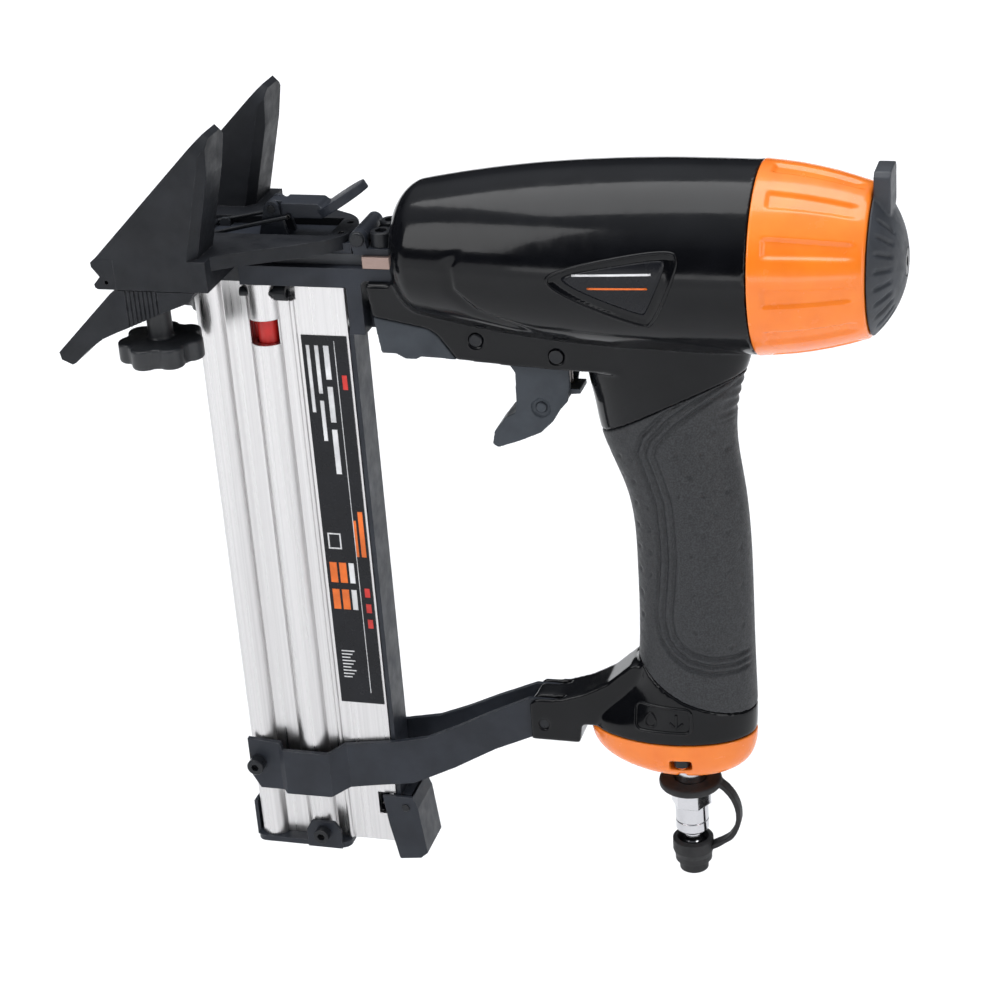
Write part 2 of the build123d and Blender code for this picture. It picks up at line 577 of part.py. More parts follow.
with BuildPart() as shoe:
    for side in (-1, 1):
        low, high = sorted((side * CHANNEL_HALF_W, side * SHOE_HALF_W))
        block((GUIDE_BACK_X, BAR_BACK_X), (low, high), (BAR_BOTTOM_Z, BAR_TOP_Z))
    with BuildSketch(Plane.XY.offset(PLATE_BOTTOM_Z)):
        with BuildLine():
            Polyline(*[(x, -y) for x, y in PLATE_EDGE])
            ThreePointArc((80, -14.9), (87.5, 0), (80, 14.9))
            Polyline(*reversed(PLATE_EDGE))
            Line((36, SHOE_HALF_W), (36, -SHOE_HALF_W))
        make_face()
    extrude(amount=BAR_TOP_Z - PLATE_BOTTOM_Z)
    block((30, 79.5), (-9.7, 9.7), (-6, 8), mode=Mode.SUBTRACT)
    block((70, 90), (-9.7, 9.7), (-6, 4.15), mode=Mode.SUBTRACT)
    add(wing.part)
    add(wing.part.mirror(Plane.XZ))
    for y in (-KNOB_Y, KNOB_Y):
        rod_z(KNOB_X, y, STUD_R, -6, 4, mode=Mode.SUBTRACT)
    for y in (-5.6, 5.6):
        rod_z(83.2, y, 1.5, 4, 8, mode=Mode.SUBTRACT)
        rod_z(83.2, y, 2.9, 5.2, 8, mode=Mode.SUBTRACT)
shoe.part.label = "shoe"
export_step(shoe.part, "parts/shoe.step")

with BuildPart() as tongue_guide:
    side_plate([(GUIDE_BACK_X, BAR_TOP_Z), (-1.5, BAR_TOP_Z), (-3, 5.6), (-2.9, 3.9), (0, 0), (-2.6, -3),
                (-2.4, -4.2), (-1.4, -4.9), (GUIDE_BACK_X, -4.9)], -SHOE_HALF_W, SHOE_HALF_W)
    block((-5, 7), (-3.2, 3.2), (-0.95, 0.95), mode=Mode.SUBTRACT)
    for low, high in ((-SHOE_HALF_W - 1, -SHOE_HALF_W + 3), (SHOE_HALF_W - 3, SHOE_HALF_W + 1)):
        rod_y(2.4, -2.2, 0.8, low, high, mode=Mode.SUBTRACT)
tongue_guide.part.label = "tongue_guide"
export_step(tongue_guide.part, "parts/tongue_guide.step")

with BuildPart() as shoe_screws:
    for y in (-5.6, 5.6):
        rod_z(83.2, y, 1.5, 1.1, 6)
        rod_z(83.2, y, 2.9, 5.2, 6.8)
    for y in (-5.6, 5.6):
        hex_z(83.2, y, 2.5, 5.8, 8, mode=Mode.SUBTRACT)
shoe_screws.part.label = "shoe_screws"
export_step(shoe_screws.part, "parts/shoe_screws.step")

with BuildPart() as knob_studs:
    for y in (-KNOB_Y, KNOB_Y):
        rod_z(KNOB_X, y, STUD_R, -34.4, 4)
knob_studs.part.label = "knob_studs"
export_step(knob_studs.part, "parts/knob_studs.step")

FOOT_TOP_Z = BAR_BOTTOM_Z - 0.3
with BuildPart() as foot:
    side_plate([(5.2, FOOT_TOP_Z), (37.1, FOOT_TOP_Z), (34.1, -9.3), (24.9, -13), (10.3, -19.4), (4, -22),
                (-2.3, -24.9), (-9, -29.7), (-14.8, -35.1), (-16.4, -35.9), (-20.6, -34),
                (FOOT_LINE - 31, -31), (FOOT_LINE - 6.6, -6.6)],
               -SHOE_HALF_W, SHOE_HALF_W)
    # gap for the magazine
    block((14, 50), (-14.5, 14.5), (-40, 0), mode=Mode.SUBTRACT)
    # and for the nose, which passes when the shoe swings up
    block((1.4, 14.1), (-9.9, 9.9), (-40, 0), mode=Mode.SUBTRACT)
    slot_low = KNOB_X - FOOT_BACK
    slot_high = KNOB_X + FOOT_FORWARD
    for y in (-KNOB_Y, KNOB_Y):
        # slot for the stud, and a flat seat for the knob's collar
        block((slot_low, slot_high), (y - STUD_R - 0.2, y + STUD_R + 0.2), (-40, 0), mode=Mode.SUBTRACT)
        block((slot_low, slot_high), (y - 5.3, y + 5.3), (-40, -15.5), mode=Mode.SUBTRACT)
        for x in (slot_low, slot_high):
            rod_z(x, y, STUD_R + 0.2, -40, 0, mode=Mode.SUBTRACT)
            rod_z(x, y, 5.3, -40, -15.5, mode=Mode.SUBTRACT)
    # finger ribs on both ends
    for k in range(8):
        x = 9.5 + k * 1.75
        for side in (-1, 1):
            low, high = sorted((side * (SHOE_HALF_W - 0.5), side * (SHOE_HALF_W + 1)))
            block((x - 0.35, x + 0.35), (low, high), (-30, -5), mode=Mode.SUBTRACT)
foot.part.label = "foot"
export_step(foot.part, "parts/foot.step")

KNOB_LOBES = 7
for name, y in (("knob_near", -KNOB_Y), ("knob_far", KNOB_Y)):
    with BuildPart() as knob:
        with BuildSketch(Plane.XY.offset(-35.6)):
            with Locations((KNOB_X, y)):
                Circle(KNOB_R - 2.6)
                with PolarLocations(KNOB_R - 5.2, KNOB_LOBES):
                    Circle(5.2)
        extrude(amount=8)
        fillet(knob.faces().filter_by(Axis.Z).edges(), 0.9)
        rod_z(KNOB_X, y, 4.8, -28, -15.8)
        rod_z(KNOB_X, y, STUD_R + RUN, -35, -10, mode=Mode.SUBTRACT)
    knob.part.label = name
    export_step(knob.part, "parts/" + name + ".step")

# ---- magazine ----
with BuildPart() as magazine_body:
    with BuildSketch(Plane.XY.offset(MAG_BOTTOM_Z)):
        with Locations(((MAG_FRONT_X + MAG_BACK_X) / 2, 0)):
            Rectangle(MAG_BACK_X - MAG_FRONT_X, 2 * MAG_HALF_W)
        for side in (-1, 1):
            with Locations((27.6, side * 6.2)):
                Circle(6.1)
            with Locations((49.5, side * 5.5)):
                Circle(7.0)
            with Locations((61.3, side * 8.0)):
                Circle(1.0)
        with Locations(((30.2 + MAG_BACK_X + 1) / 2, 0)):
            Rectangle(MAG_BACK_X + 1 - 30.2, 2 * MAG_SLOT_HALF_W, mode=Mode.SUBTRACT)
        # the rear tubes are hollow, for the pusher
        with Locations((49.8, -5.4), (49.8, 5.4)):
            Circle(4.9, mode=Mode.SUBTRACT)
    extrude(amount=MAG_TOP_Z - MAG_BOTTOM_Z)
    # window onto the pusher, in both sides
    block((43.8, 55.4), (-14, 14), (-37.5, -27.5), mode=Mode.SUBTRACT)
    # notches for the catch, and holes for the screws
    block((75, 84), (-9, 9), (-248, -237.6), mode=Mode.SUBTRACT)
    rod_y(26.3, -224, 1.9, -14, 14, mode=Mode.SUBTRACT)
    rod_y(51.5, -256, 1.6, -14, 14, mode=Mode.SUBTRACT)
    # holes and spot faces for the bolts to the nose bracket
    for y in (-BOLT_Y, BOLT_Y):
        rod_x(y, BOLT_Z, 1.8, 41, 58, mode=Mode.SUBTRACT)
        rod_x(y, BOLT_Z, 3.3, 55.6, 63, mode=Mode.SUBTRACT)
magazine_body.part.label = "magazine_body"
export_step(magazine_body.part, "parts/magazine_body.step")

with BuildPart() as magazine_bolts:
    for y in (-BOLT_Y, BOLT_Y):
        rod_x(y, BOLT_Z, 1.8, 41.6, 57)
        rod_x(y, BOLT_Z, 3.1, 55.8, 60.6)
    for y in (-BOLT_Y, BOLT_Y):
        hex_bar(Plane.YZ.offset(58.6), (y, BOLT_Z), 3.2, 3, mode=Mode.SUBTRACT)
magazine_bolts.part.label = "magazine_bolts"
export_step(magazine_bolts.part, "parts/magazine_bolts.step")

END_CAP_T = 2.5
with BuildPart() as magazine_end_cap:
    block((20.6, 62), (-13.4, 13.4), (MAG_BOTTOM_Z - END_CAP_T, MAG_BOTTOM_Z - 0.05))
    fillet(magazine_end_cap.edges().filter_by(Axis.Z), 4)
    for side in (-1, 1):
        low, high = sorted((side * 12.6, side * 14.2))
        side_plate([(44, MAG_BOTTOM_Z - END_CAP_T), (44, -255), (46.5, -251), (56.5, -251), (59, -255),
                    (59, MAG_BOTTOM_Z - END_CAP_T)], low, high)
        rod_y(51.5, -256, 1.6, low - 1, high + 1, mode=Mode.SUBTRACT)
    block((19.4, 20.9), (-9, 9), (MAG_BOTTOM_Z - END_CAP_T, -247))
    block((20.9, 21.6), (-9, 9), (MAG_BOTTOM_Z - END_CAP_T, MAG_BOTTOM_Z - 0.05))
    # open where the magazine slide passes
    block((29.9, 63), (-MAG_SLOT_HALF_W - 0.1, MAG_SLOT_HALF_W + 0.1), (-270, -260), mode=Mode.SUBTRACT)
magazine_end_cap.part.label = "magazine_end_cap"
export_step(magazine_end_cap.part, "parts/magazine_end_cap.step")

with BuildPart() as end_cap_bolts:
    for side in (-1, 1):
        low, high = sorted((side * 5.6, side * 14.6))
        rod_y(51.5, -256, 1.6, low, high)
        low, high = sorted((side * 14.25, side * 18.2))
        rod_y(51.5, -256, 3.2, low, high)
        low, high = sorted((side * 16, side * 19))
        hex_y(51.5, -256, 3.0, low, high, mode=Mode.SUBTRACT)
end_cap_bolts.part.label = "end_cap_bolts"
export_step(end_cap_bolts.part, "parts/end_cap_bolts.step")

with BuildPart() as magazine_label:
    block((63.6, 81.9), (-MAG_HALF_W - 0.35, -MAG_HALF_W), (-195, -34))
magazine_label.part.label = "magazine_label"
export_step(magazine_label.part, "parts/magazine_label.step")

# slide: the rail that the fasteners straddle, its foot, and the spine that closes the back
with BuildPart() as magazine_slide:
    block((31, 66.8), (-1.8, 1.8), (-262, MAG_TOP_Z - 0.4))
    block((31, 84.9), (-4.4, 4.4), (-262, -254))
    block((83.1, 84.9), (-7.6, 7.6), (-262, -31.6))
    block((80.4, 83.2), (-4.4, 4.4), (-262, -16))
    # lug that the catch turns on
    block((84.8, 88.9), (-6, 6), (-247, -239))
    rod_y(*CATCH_PIVOT, 1.5, -7, 7, mode=Mode.SUBTRACT)
magazine_slide.part.label = "magazine_slide"
export_step(magazine_slide.part, "parts/magazine_slide.step")

with BuildPart() as pusher:
    block((31, 79.8), (-4.4, 4.4), (-46, -14))
    for y in (-5.4, 5.4):
        rod_z(49.8, y, 4.2, -44, -22)
    block((30, 67.2), (-2.2, 2.2), (-47, -13), mode=Mode.SUBTRACT)
    rod_z(73.6, 0, 3.9, -47, -30, mode=Mode.SUBTRACT)
pusher.part.label = "pusher"
export_step(pusher.part, "parts/pusher.step")

with BuildPart() as pusher_spring:
    spring((73.6, 0, -253.2), (0, 0, 1), 2.9, 0.45, 222, 8.5)
pusher_spring.part.label = "pusher_spring"
export_step(pusher_spring.part, "parts/pusher_spring.step")

with BuildPart() as catch:
    side_plate([(77.6, -238), (90.6, -238), (92.6, -243), (94.9, -264.5), (91.8, -267.2), (82.6, -268.4),
                (81.4, -262), (79.4, -252)], -9.9, 9.9)
    fillet(catch.edges().filter_by(Axis.Y).group_by(Axis.Z)[0], 0.8)
    side_plate([(70, -230), (89.2, -230), (90.9, -242.6), (93.2, -264), (90.8, -265.7), (70, -272)],
               -8.5, 8.5, mode=Mode.SUBTRACT)
    rod_y(*CATCH_PIVOT, 1.5 + RUN, -11, 11, mode=Mode.SUBTRACT)
catch.part.label = "catch"
export_step(catch.part, "parts/catch.step")

with BuildPart() as catch_pin:
    rod_y(*CATCH_PIVOT, 1.5, -10.4, 10.4)
catch_pin.part.label = "catch_pin"
export_step(catch_pin.part, "parts/catch_pin.step")

with BuildPart() as catch_spring:
    spring((CATCH_PIVOT[0], 8.0, CATCH_PIVOT[1]), (0, -1, 0), 2.0, 0.3, 1.4, 0.7)
catch_spring.part.label = "catch_spring"
export_step(catch_spring.part, "parts/catch_spring.step")

# ---- stay between magazine and handle ----
STAY_TOP = [(22.5, -213), (36.6, -214), (37.6, -217), (57, -217), (63, -214.6), (85, -211.4), (99.6, -208.2),
            (112.7, -202.3), (126.2, -195.4), (143, -187.6), (158.8, -187.6)]
STAY_BOTTOM = [(158.8, -204.6), (144, -204.8), (127.8, -211.8), (110.4, -221.5), (92.1, -230.2), (74.8, -233),
               (63.8, -235), (57, -237.4), (37.6, -237.6), (36.6, -236.4), (26, -236.4), (22.5, -230)]
STAY_PLAN = [(22.5, -13.4), (36, -13.4), (38.4, -14.6), (57.6, -14.6), (64, -9.4), (88, -9.4), (100, -9.1),
             (120, -7.6), (143.5, -STAY_LUG_Y), (158.8, -STAY_LUG_Y)]

with BuildPart() as stay_arm:
    with BuildSketch(Plane.XY.offset(-245)):
        with BuildLine() as stay_line:
            Polyline(*STAY_PLAN)
        trace(stay_line.line, line_width=STAY_T)
    extrude(amount=65)
    with BuildSketch(Plane.XZ):
        profile(STAY_TOP + STAY_BOTTOM)
    extrude(amount=20, both=True, mode=Mode.INTERSECT)
    rod_y(26.3, -224, 1.9, -20, 0, mode=Mode.SUBTRACT)
    rod_y(*STAY_PIN, 2.0, -20, 0, mode=Mode.SUBTRACT)

stay_arm_near = stay_arm.part
stay_arm_near.label = "stay_arm_near"
export_step(stay_arm_near, "parts/stay_arm_near.step")
stay_arm_far = stay_arm.part.mirror(Plane.XZ)
stay_arm_far.label = "stay_arm_far"
export_step(stay_arm_far, "parts/stay_arm_far.step")

with BuildPart() as stay_screw:
    rod_y(26.3, -224, 1.9, -14.6, 19)
    rod_y(26.3, -224, 3.5, -19.4, -14.5)
    chamfer(stay_screw.edges().filter_by(GeomType.CIRCLE).group_by(Axis.Y)[0], 0.4)
    hex_y(26.3, -224, 3.0, -20, -17, mode=Mode.SUBTRACT)
stay_screw.part.label = "stay_screw"
export_step(stay_screw.part, "parts/stay_screw.step")

with BuildPart() as stay_nut:
    hex_y(26.3, -224, 7.0, 14.45, 17.6)
    rod_y(26.3, -224, 1.9, 14, 18, mode=Mode.SUBTRACT)
stay_nut.part.label = "stay_nut"
export_step(stay_nut.part, "parts/stay_nut.step")

with BuildPart() as stay_pin:
    rod_y(*STAY_PIN, 2.0, -LUG_HALF_W + 0.8, LUG_HALF_W - 0.8)
stay_pin.part.label = "stay_pin"
export_step(stay_pin.part, "parts/stay_pin.step")

# ---- handle end cap and air inlet ----
CAP_TOP_Z = HANDLE_END_Z
with BuildPart() as handle_end_cap:
    for z, centre, half_l, half_w in ((CAP_TOP_Z, 200.4, 33.3, 19.2), (-205.5, 200.8, 31.6, 18.0),
                                      (-213, 204.5, 21.0, 14.0)):
        with BuildSketch(Plane.XY.offset(z)):
            with Locations((centre, 0)):
                Ellipse(half_l, half_w)
    loft()
    with BuildSketch(Plane.XY.offset(CAP_TOP_Z)):
        with Locations((209, 0)):
            Ellipse(13, 8)
    extrude(amount=-5, mode=Mode.SUBTRACT)
    rod_z(PLUG_X, 0, 6.5, -214, -200, mode=Mode.SUBTRACT)
    for y, low, high in ((14.2, 10.4, 20), (-14.2, -20, -10.4)):
        rod_z(206, y, 1.6, -215, CAP_TOP_Z + 1, mode=Mode.SUBTRACT)
        block((201.6, 210.4), (low, high), (-209, -204.4), mode=Mode.SUBTRACT)
    rod_z(176, 0, 1.6, -215, CAP_TOP_Z + 1, mode=Mode.SUBTRACT)
    rod_z(176, 0, 3.4, -215, -203.5, mode=Mode.SUBTRACT)
    # recess that the stay lug's rear corner fits in
    block((150, 165.2), (-LUG_HALF_W - 0.2, LUG_HALF_W + 0.2), (-215, -196), mode=Mode.SUBTRACT)
handle_end_cap.part.label = "handle_end_cap"
export_step(handle_end_cap.part, "parts/handle_end_cap.step")

with BuildPart() as handle_cap_screws:
    for x, y, seat in ((206, 14.2, -204.4), (206, -14.2, -204.4), (176, 0, -203.5)):
        rod_z(x, y, 1.6, seat - 1, HANDLE_END_Z + 12)
        rod_z(x, y, 3.2, seat - 3.2, seat)
handle_cap_screws.part.label = "handle_cap_screws"
export_step(handle_cap_screws.part, "parts/handle_cap_screws.step")

PLUG_STEPS = [(6.5, -200.2), (6.5, -225.2), (6.2, -225.2), (6.2, -233.6), (6.7, -233.6), (6.7, -240.6),
              (6.3, -240.9), (6.7, -241.2), (6.7, -245), (4.2, -247), (4.2, -250), (6.0, -253.4), (6.0, -258.6),
              (4.6, -259), (4.6, -261.8), (2.5, -261.8), (2.5, -200.2)]
with BuildPart() as air_plug:
    with BuildSketch(Plane.XZ):
        profile([(PLUG_X + r, z) for r, z in PLUG_STEPS])
    revolve(axis=Axis((PLUG_X, 0, 0), (0, 0, 1)))
    hex_z(PLUG_X, 0, 14.0, -233.6, -225.3)
    rod_z(PLUG_X, 0, 2.5, -262, -200, mode=Mode.SUBTRACT)
air_plug.part.label = "air_plug"
export_step(air_plug.part, "parts/air_plug.step")

CUP = [(6.3, -249.8), (8.2, -250.4), (8.3, -255.2), (7.5, -257.6), (7.4, -260.0), (6.0, -260.8), (5.8, -264.4),
       (0, -264.4), (0, -262.4), (4.9, -262.4), (4.9, -259.6), (6.3, -259.2)]
with BuildPart() as dust_cap:
    with BuildSketch(Plane.XZ):
        profile([(PLUG_X + r, z) for r, z in CUP])
    revolve(axis=Axis((PLUG_X, 0, 0), (0, 0, 1)))
dust_cap.part.label = "dust_cap"
export_step(dust_cap.part, "parts/dust_cap.step")

with BuildPart() as cap_strap:
    rod_z(PLUG_X, 0, 12.6, -225.1, -221.6)
    rod_z(PLUG_X, 0, 6.5, -226, -221, mode=Mode.SUBTRACT)
    fillet(cap_strap.edges().filter_by(GeomType.CIRCLE).group_by(SortBy.RADIUS)[-1], 1.2)
    with BuildLine() as strap_path:
        ThreePointArc((217.6, 0, -223.4), (225.2, 0, -238), (214.8, 0, -253.6))
    with BuildSketch(Plane(origin=strap_path.line @ 0, x_dir=(0, 1, 0), z_dir=strap_path.line % 0)):
        Rectangle(5, 2)
    sweep(path=strap_path.line)
cap_strap.part.label = "cap_strap"
export_step(cap_strap.part, "parts/cap_strap.step")
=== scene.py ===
import json
import math

import bpy
import numpy as np
from mathutils import Matrix, Vector
from mathutils.bvhtree import BVHTree

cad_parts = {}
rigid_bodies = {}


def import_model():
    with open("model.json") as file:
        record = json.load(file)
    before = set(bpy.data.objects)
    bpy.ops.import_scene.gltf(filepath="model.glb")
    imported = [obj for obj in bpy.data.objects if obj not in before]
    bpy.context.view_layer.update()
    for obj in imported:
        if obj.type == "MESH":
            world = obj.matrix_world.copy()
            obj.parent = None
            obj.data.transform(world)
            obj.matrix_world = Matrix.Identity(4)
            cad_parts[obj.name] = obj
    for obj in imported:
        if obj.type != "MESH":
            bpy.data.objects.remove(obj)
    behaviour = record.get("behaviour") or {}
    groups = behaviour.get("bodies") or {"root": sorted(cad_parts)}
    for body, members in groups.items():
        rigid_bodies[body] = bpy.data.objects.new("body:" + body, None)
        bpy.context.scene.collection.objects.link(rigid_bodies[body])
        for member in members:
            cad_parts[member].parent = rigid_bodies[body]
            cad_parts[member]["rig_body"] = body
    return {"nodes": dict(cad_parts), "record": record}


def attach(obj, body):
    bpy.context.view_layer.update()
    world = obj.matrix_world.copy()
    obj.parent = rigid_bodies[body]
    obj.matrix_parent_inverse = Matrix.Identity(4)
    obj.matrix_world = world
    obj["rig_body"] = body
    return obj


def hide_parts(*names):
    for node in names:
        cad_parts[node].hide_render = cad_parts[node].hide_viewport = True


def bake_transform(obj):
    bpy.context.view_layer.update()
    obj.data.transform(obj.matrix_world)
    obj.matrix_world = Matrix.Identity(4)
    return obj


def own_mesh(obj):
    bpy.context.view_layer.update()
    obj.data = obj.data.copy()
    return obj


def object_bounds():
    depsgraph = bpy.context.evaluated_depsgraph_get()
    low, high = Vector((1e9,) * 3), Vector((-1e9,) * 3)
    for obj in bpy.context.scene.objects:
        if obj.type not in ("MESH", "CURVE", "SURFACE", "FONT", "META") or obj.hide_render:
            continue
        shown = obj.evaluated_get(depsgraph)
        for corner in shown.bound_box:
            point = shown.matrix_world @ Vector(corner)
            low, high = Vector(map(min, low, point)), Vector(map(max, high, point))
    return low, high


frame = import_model()
nodes = frame["nodes"]
cad_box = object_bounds()
MM = 0.001


# ---------- camera ----------
CAMERA_PLACE = (0.400831, -0.838907, 0.317867)
CAMERA_RIGHT = Vector((0.96060, 0.26889, -0.07027))
CAMERA_UP = Vector((-0.05568, 0.43393, 0.89922))
CAMERA_LOOK = Vector((-0.27228, 0.85988, -0.43181))

cam_data = bpy.data.cameras.new("camera")
cam_data.lens = 90.654
cam_data.sensor_width = 36.0
cam_data.clip_start = 0.05
cam = bpy.data.objects.new("camera", cam_data)
bpy.context.scene.collection.objects.link(cam)
turn = Matrix((CAMERA_RIGHT, CAMERA_UP, -CAMERA_LOOK)).transposed().to_4x4()
cam.matrix_world = Matrix.Translation(CAMERA_PLACE) @ turn
bpy.context.scene.camera = cam


# ---------- materials ----------
class Nodes:
    """Short names for building a node tree."""

    def __init__(self, name):
        self.mat = bpy.data.materials.new(name)
        self.mat.use_nodes = True
        self.tree = self.mat.node_tree
        self.shader = self.tree.nodes["Principled BSDF"]
        self.coord = self.tree.nodes.new("ShaderNodeTexCoord").outputs["Object"]

    def link(self, a, b):
        self.tree.links.new(a, b)

    def scaled(self, scale):
        node = self.tree.nodes.new("ShaderNodeMapping")
        node.inputs["Scale"].default_value = scale
        self.link(self.coord, node.inputs["Vector"])
        return node.outputs["Vector"]

    def noise(self, scale, detail=3.0, rough=0.55, stretch=(1, 1, 1)):
        node = self.tree.nodes.new("ShaderNodeTexNoise")
        node.inputs["Scale"].default_value = scale
        node.inputs["Detail"].default_value = detail
        node.inputs["Roughness"].default_value = rough
        self.link(self.scaled(stretch), node.inputs["Vector"])
        return node.outputs["Fac"]

    def fit(self, value, low, high, to_low=0.0, to_high=1.0):
        node = self.tree.nodes.new("ShaderNodeMapRange")
        node.inputs["From Min"].default_value = low
        node.inputs["From Max"].default_value = high
        node.inputs["To Min"].default_value = to_low
        node.inputs["To Max"].default_value = to_high
        self.link(value, node.inputs["Value"])
        return node.outputs["Result"]

    def mix(self, fac, a, b):
        node = self.tree.nodes.new("ShaderNodeMix")
        node.data_type = "RGBA"
        for socket, value in ((node.inputs[6], a), (node.inputs[7], b)):
            if isinstance(value, tuple):
                socket.default_value = (*value, 1.0)
            else:
                self.link(value, socket)
        self.link(fac, node.inputs[0])
        return node.outputs[2]

    def math(self, op, a, b=0.0):
        node = self.tree.nodes.new("ShaderNodeMath")
        node.operation = op
        for socket, value in ((node.inputs[0], a), (node.inputs[1], b)):
            if isinstance(value, (int, float)):
                socket.default_value = value
            else:
                self.link(value, socket)
        return node.outputs[0]

    def bevel(self, radius):
        node = self.tree.nodes.new("ShaderNodeBevel")
        node.samples = 4
        node.inputs["Radius"].default_value = radius
        return node.outputs["Normal"]

    def edge(self, radius):
        """1 on sharp edges, 0 on flats."""
        geometry = self.tree.nodes.new("ShaderNodeNewGeometry")
        dot = self.tree.nodes.new("ShaderNodeVectorMath")
        dot.operation = "DOT_PRODUCT"
        self.link(self.bevel(radius), dot.inputs[0])
        self.link(geometry.outputs["Normal"], dot.inputs[1])
        return self.fit(dot.outputs["Value"], 0.985, 0.80)

    def bump(self, heights, radius=0.0):
        """heights: (value, distance in metres), added one over the other on a bevelled normal."""
        normal = self.bevel(radius) if radius else None
        for value, distance in heights:
            node = self.tree.nodes.new("ShaderNodeBump")
            node.inputs["Distance"].default_value = distance
            self.link(value, node.inputs["Height"])
            if normal is not None:
                self.link(normal, node.inputs["Normal"])
            normal = node.outputs["Normal"]
        if normal is not None:
            self.link(normal, self.shader.inputs["Normal"])

    def set(self, **values):
        names = {"color": "Base Color", "rough": "Roughness", "metal": "Metallic", "coat": "Coat Weight",
                 "coat_rough": "Coat Roughness", "spec": "Specular IOR Level", "aniso": "Anisotropic"}
        for key, value in values.items():
            socket = self.shader.inputs[names[key]]
            if isinstance(value, bpy.types.NodeSocket):
                self.link(value, socket)
            elif isinstance(value, tuple):
                socket.default_value = (*value, 1.0)
            else:
                socket.default_value = value


def gloss_paint(name, color, dark, rough, coat=0.35, spec=0.35):
    m = Nodes(name)
    m.set(color=m.mix(m.fit(m.noise(60), 0.35, 0.7), color, dark),
          rough=m.fit(m.noise(140, 4), 0.3, 0.75, rough * 0.8, rough * 1.4),
          coat=coat, coat_rough=0.05, spec=spec)
    m.bump([(m.noise(420, 2), 0.00002), (m.noise(55, 2), 0.00012)], 0.0005)
    return m.mat


def satin_steel(name, color, worn, rough=0.42, radius=0.0005):
    m = Nodes(name)
    grain = m.noise(2600, 3)
    wear = m.math("MULTIPLY", m.edge(radius), m.fit(m.noise(260, 4), 0.42, 0.62))
    mottled = m.mix(m.fit(m.noise(75, 4), 0.35, 0.68), color, tuple(c * 1.45 for c in color))
    m.set(color=m.mix(m.math("MULTIPLY", wear, 0.55), mottled, worn),
          rough=m.fit(m.noise(160, 4), 0.3, 0.7, rough * 0.8, rough * 1.25), spec=0.24)
    m.bump([(grain, 0.00003), (m.noise(330, 3), 0.00005)], radius)
    return m.mat


def bare_metal(name, color, rough, stretch=(1, 1, 1), grain=0.00002, aniso=0.0, radius=0.0004):
    m = Nodes(name)
    lines = m.noise(900, 4, 0.6, stretch)
    m.set(color=m.mix(m.fit(lines, 0.3, 0.7), tuple(c * 0.86 for c in color), color), metal=1.0,
          rough=m.fit(m.noise(700, 3, 0.6, stretch), 0.3, 0.7, rough * 0.75, rough * 1.35), aniso=aniso)
    m.bump([(lines, grain)], radius)
    return m.mat


def part_bare(name, color, bare, low, high):
    """Blackened steel, ground bare behind a line across x."""
    m = Nodes(name)
    split = m.tree.nodes.new("ShaderNodeSeparateXYZ")
    m.link(m.coord, split.inputs[0])
    mask = m.fit(split.outputs["X"], low * MM, high * MM)
    blackened = m.mix(m.fit(m.noise(75, 4), 0.35, 0.68), color, tuple(c * 1.5 for c in color))
    ground = m.mix(m.fit(m.noise(900, 4, 0.6, (1, 14, 14)), 0.3, 0.7), tuple(c * 0.8 for c in bare), bare)
    m.set(color=m.mix(mask, blackened, ground), metal=m.math("MULTIPLY", mask, 0.9),
          rough=m.fit(m.noise(500, 3, 0.6, (1, 10, 10)), 0.3, 0.7, 0.32, 0.5), spec=0.35)
    m.bump([(m.noise(1200, 3), 0.00002)], 0.0004)
    return m.mat


def moulded(name, color, rough, grain_scale=1500, grain=0.00004, spec=0.4, radius=0.0004):
    m = Nodes(name)
    m.set(color=m.mix(m.fit(m.noise(90, 4), 0.35, 0.7), color, tuple(c * 1.5 for c in color)),
          rough=m.fit(m.noise(240, 3), 0.3, 0.7, rough * 0.85, min(1.0, rough * 1.2)), spec=spec)
    m.bump([(m.noise(grain_scale, 3), grain), (m.noise(300, 2), grain * 1.5)], radius)
    return m.mat


black_paint = gloss_paint("black_paint", (0.0022, 0.0024, 0.0032), (0.0040, 0.0043, 0.0055),
                          0.13, 0.12, 0.16)
orange_paint = gloss_paint("orange_paint", (0.88, 0.215, 0.018), (0.80, 0.17, 0.012), 0.22)
dark_steel = satin_steel("dark_steel", (0.016, 0.0185, 0.0245), (0.15, 0.15, 0.16))
shoe_steel = satin_steel("shoe_steel", (0.009, 0.010, 0.0125), (0.11, 0.11, 0.12), 0.5)
trigger_steel = satin_steel("trigger_steel", (0.030, 0.035, 0.042), (0.15, 0.15, 0.16), 0.48)
black_screw = satin_steel("black_screw", (0.010, 0.011, 0.013), (0.20, 0.19, 0.18), 0.32, 0.0003)
ground_steel = bare_metal("ground_steel", (0.30, 0.27, 0.26), 0.36, (1, 14, 14))
nose_steel = part_bare("nose_steel", (0.020, 0.022, 0.026), (0.34, 0.25, 0.22), 91.5, 93.0)
wire_steel = bare_metal("wire_steel", (0.34, 0.33, 0.32), 0.3)
cast_aluminium = bare_metal("cast_aluminium", (0.55, 0.55, 0.56), 0.4)
brushed = bare_metal("brushed_aluminium", (0.64, 0.63, 0.63), 0.30, (1, 1, 0.006), 0.0000015, 0.4, 0.0005)
chrome = bare_metal("plug_chrome", (0.60, 0.60, 0.62), 0.10, (1, 1, 6), 0.000006)
brass = bare_metal("valve_brass", (0.78, 0.50, 0.14), 0.25)
deflector_black = moulded("deflector_plastic", (0.026, 0.029, 0.035), 0.5, 2200)
knob_black = moulded("knob_plastic", (0.012, 0.013, 0.015), 0.36, 1800)
cap_black = moulded("cap_rubber", (0.010, 0.010, 0.011), 0.6)
seal_black = moulded("seal_plastic", (0.04, 0.04, 0.04), 0.5)
urethane = moulded("urethane", (0.22, 0.12, 0.03), 0.5)
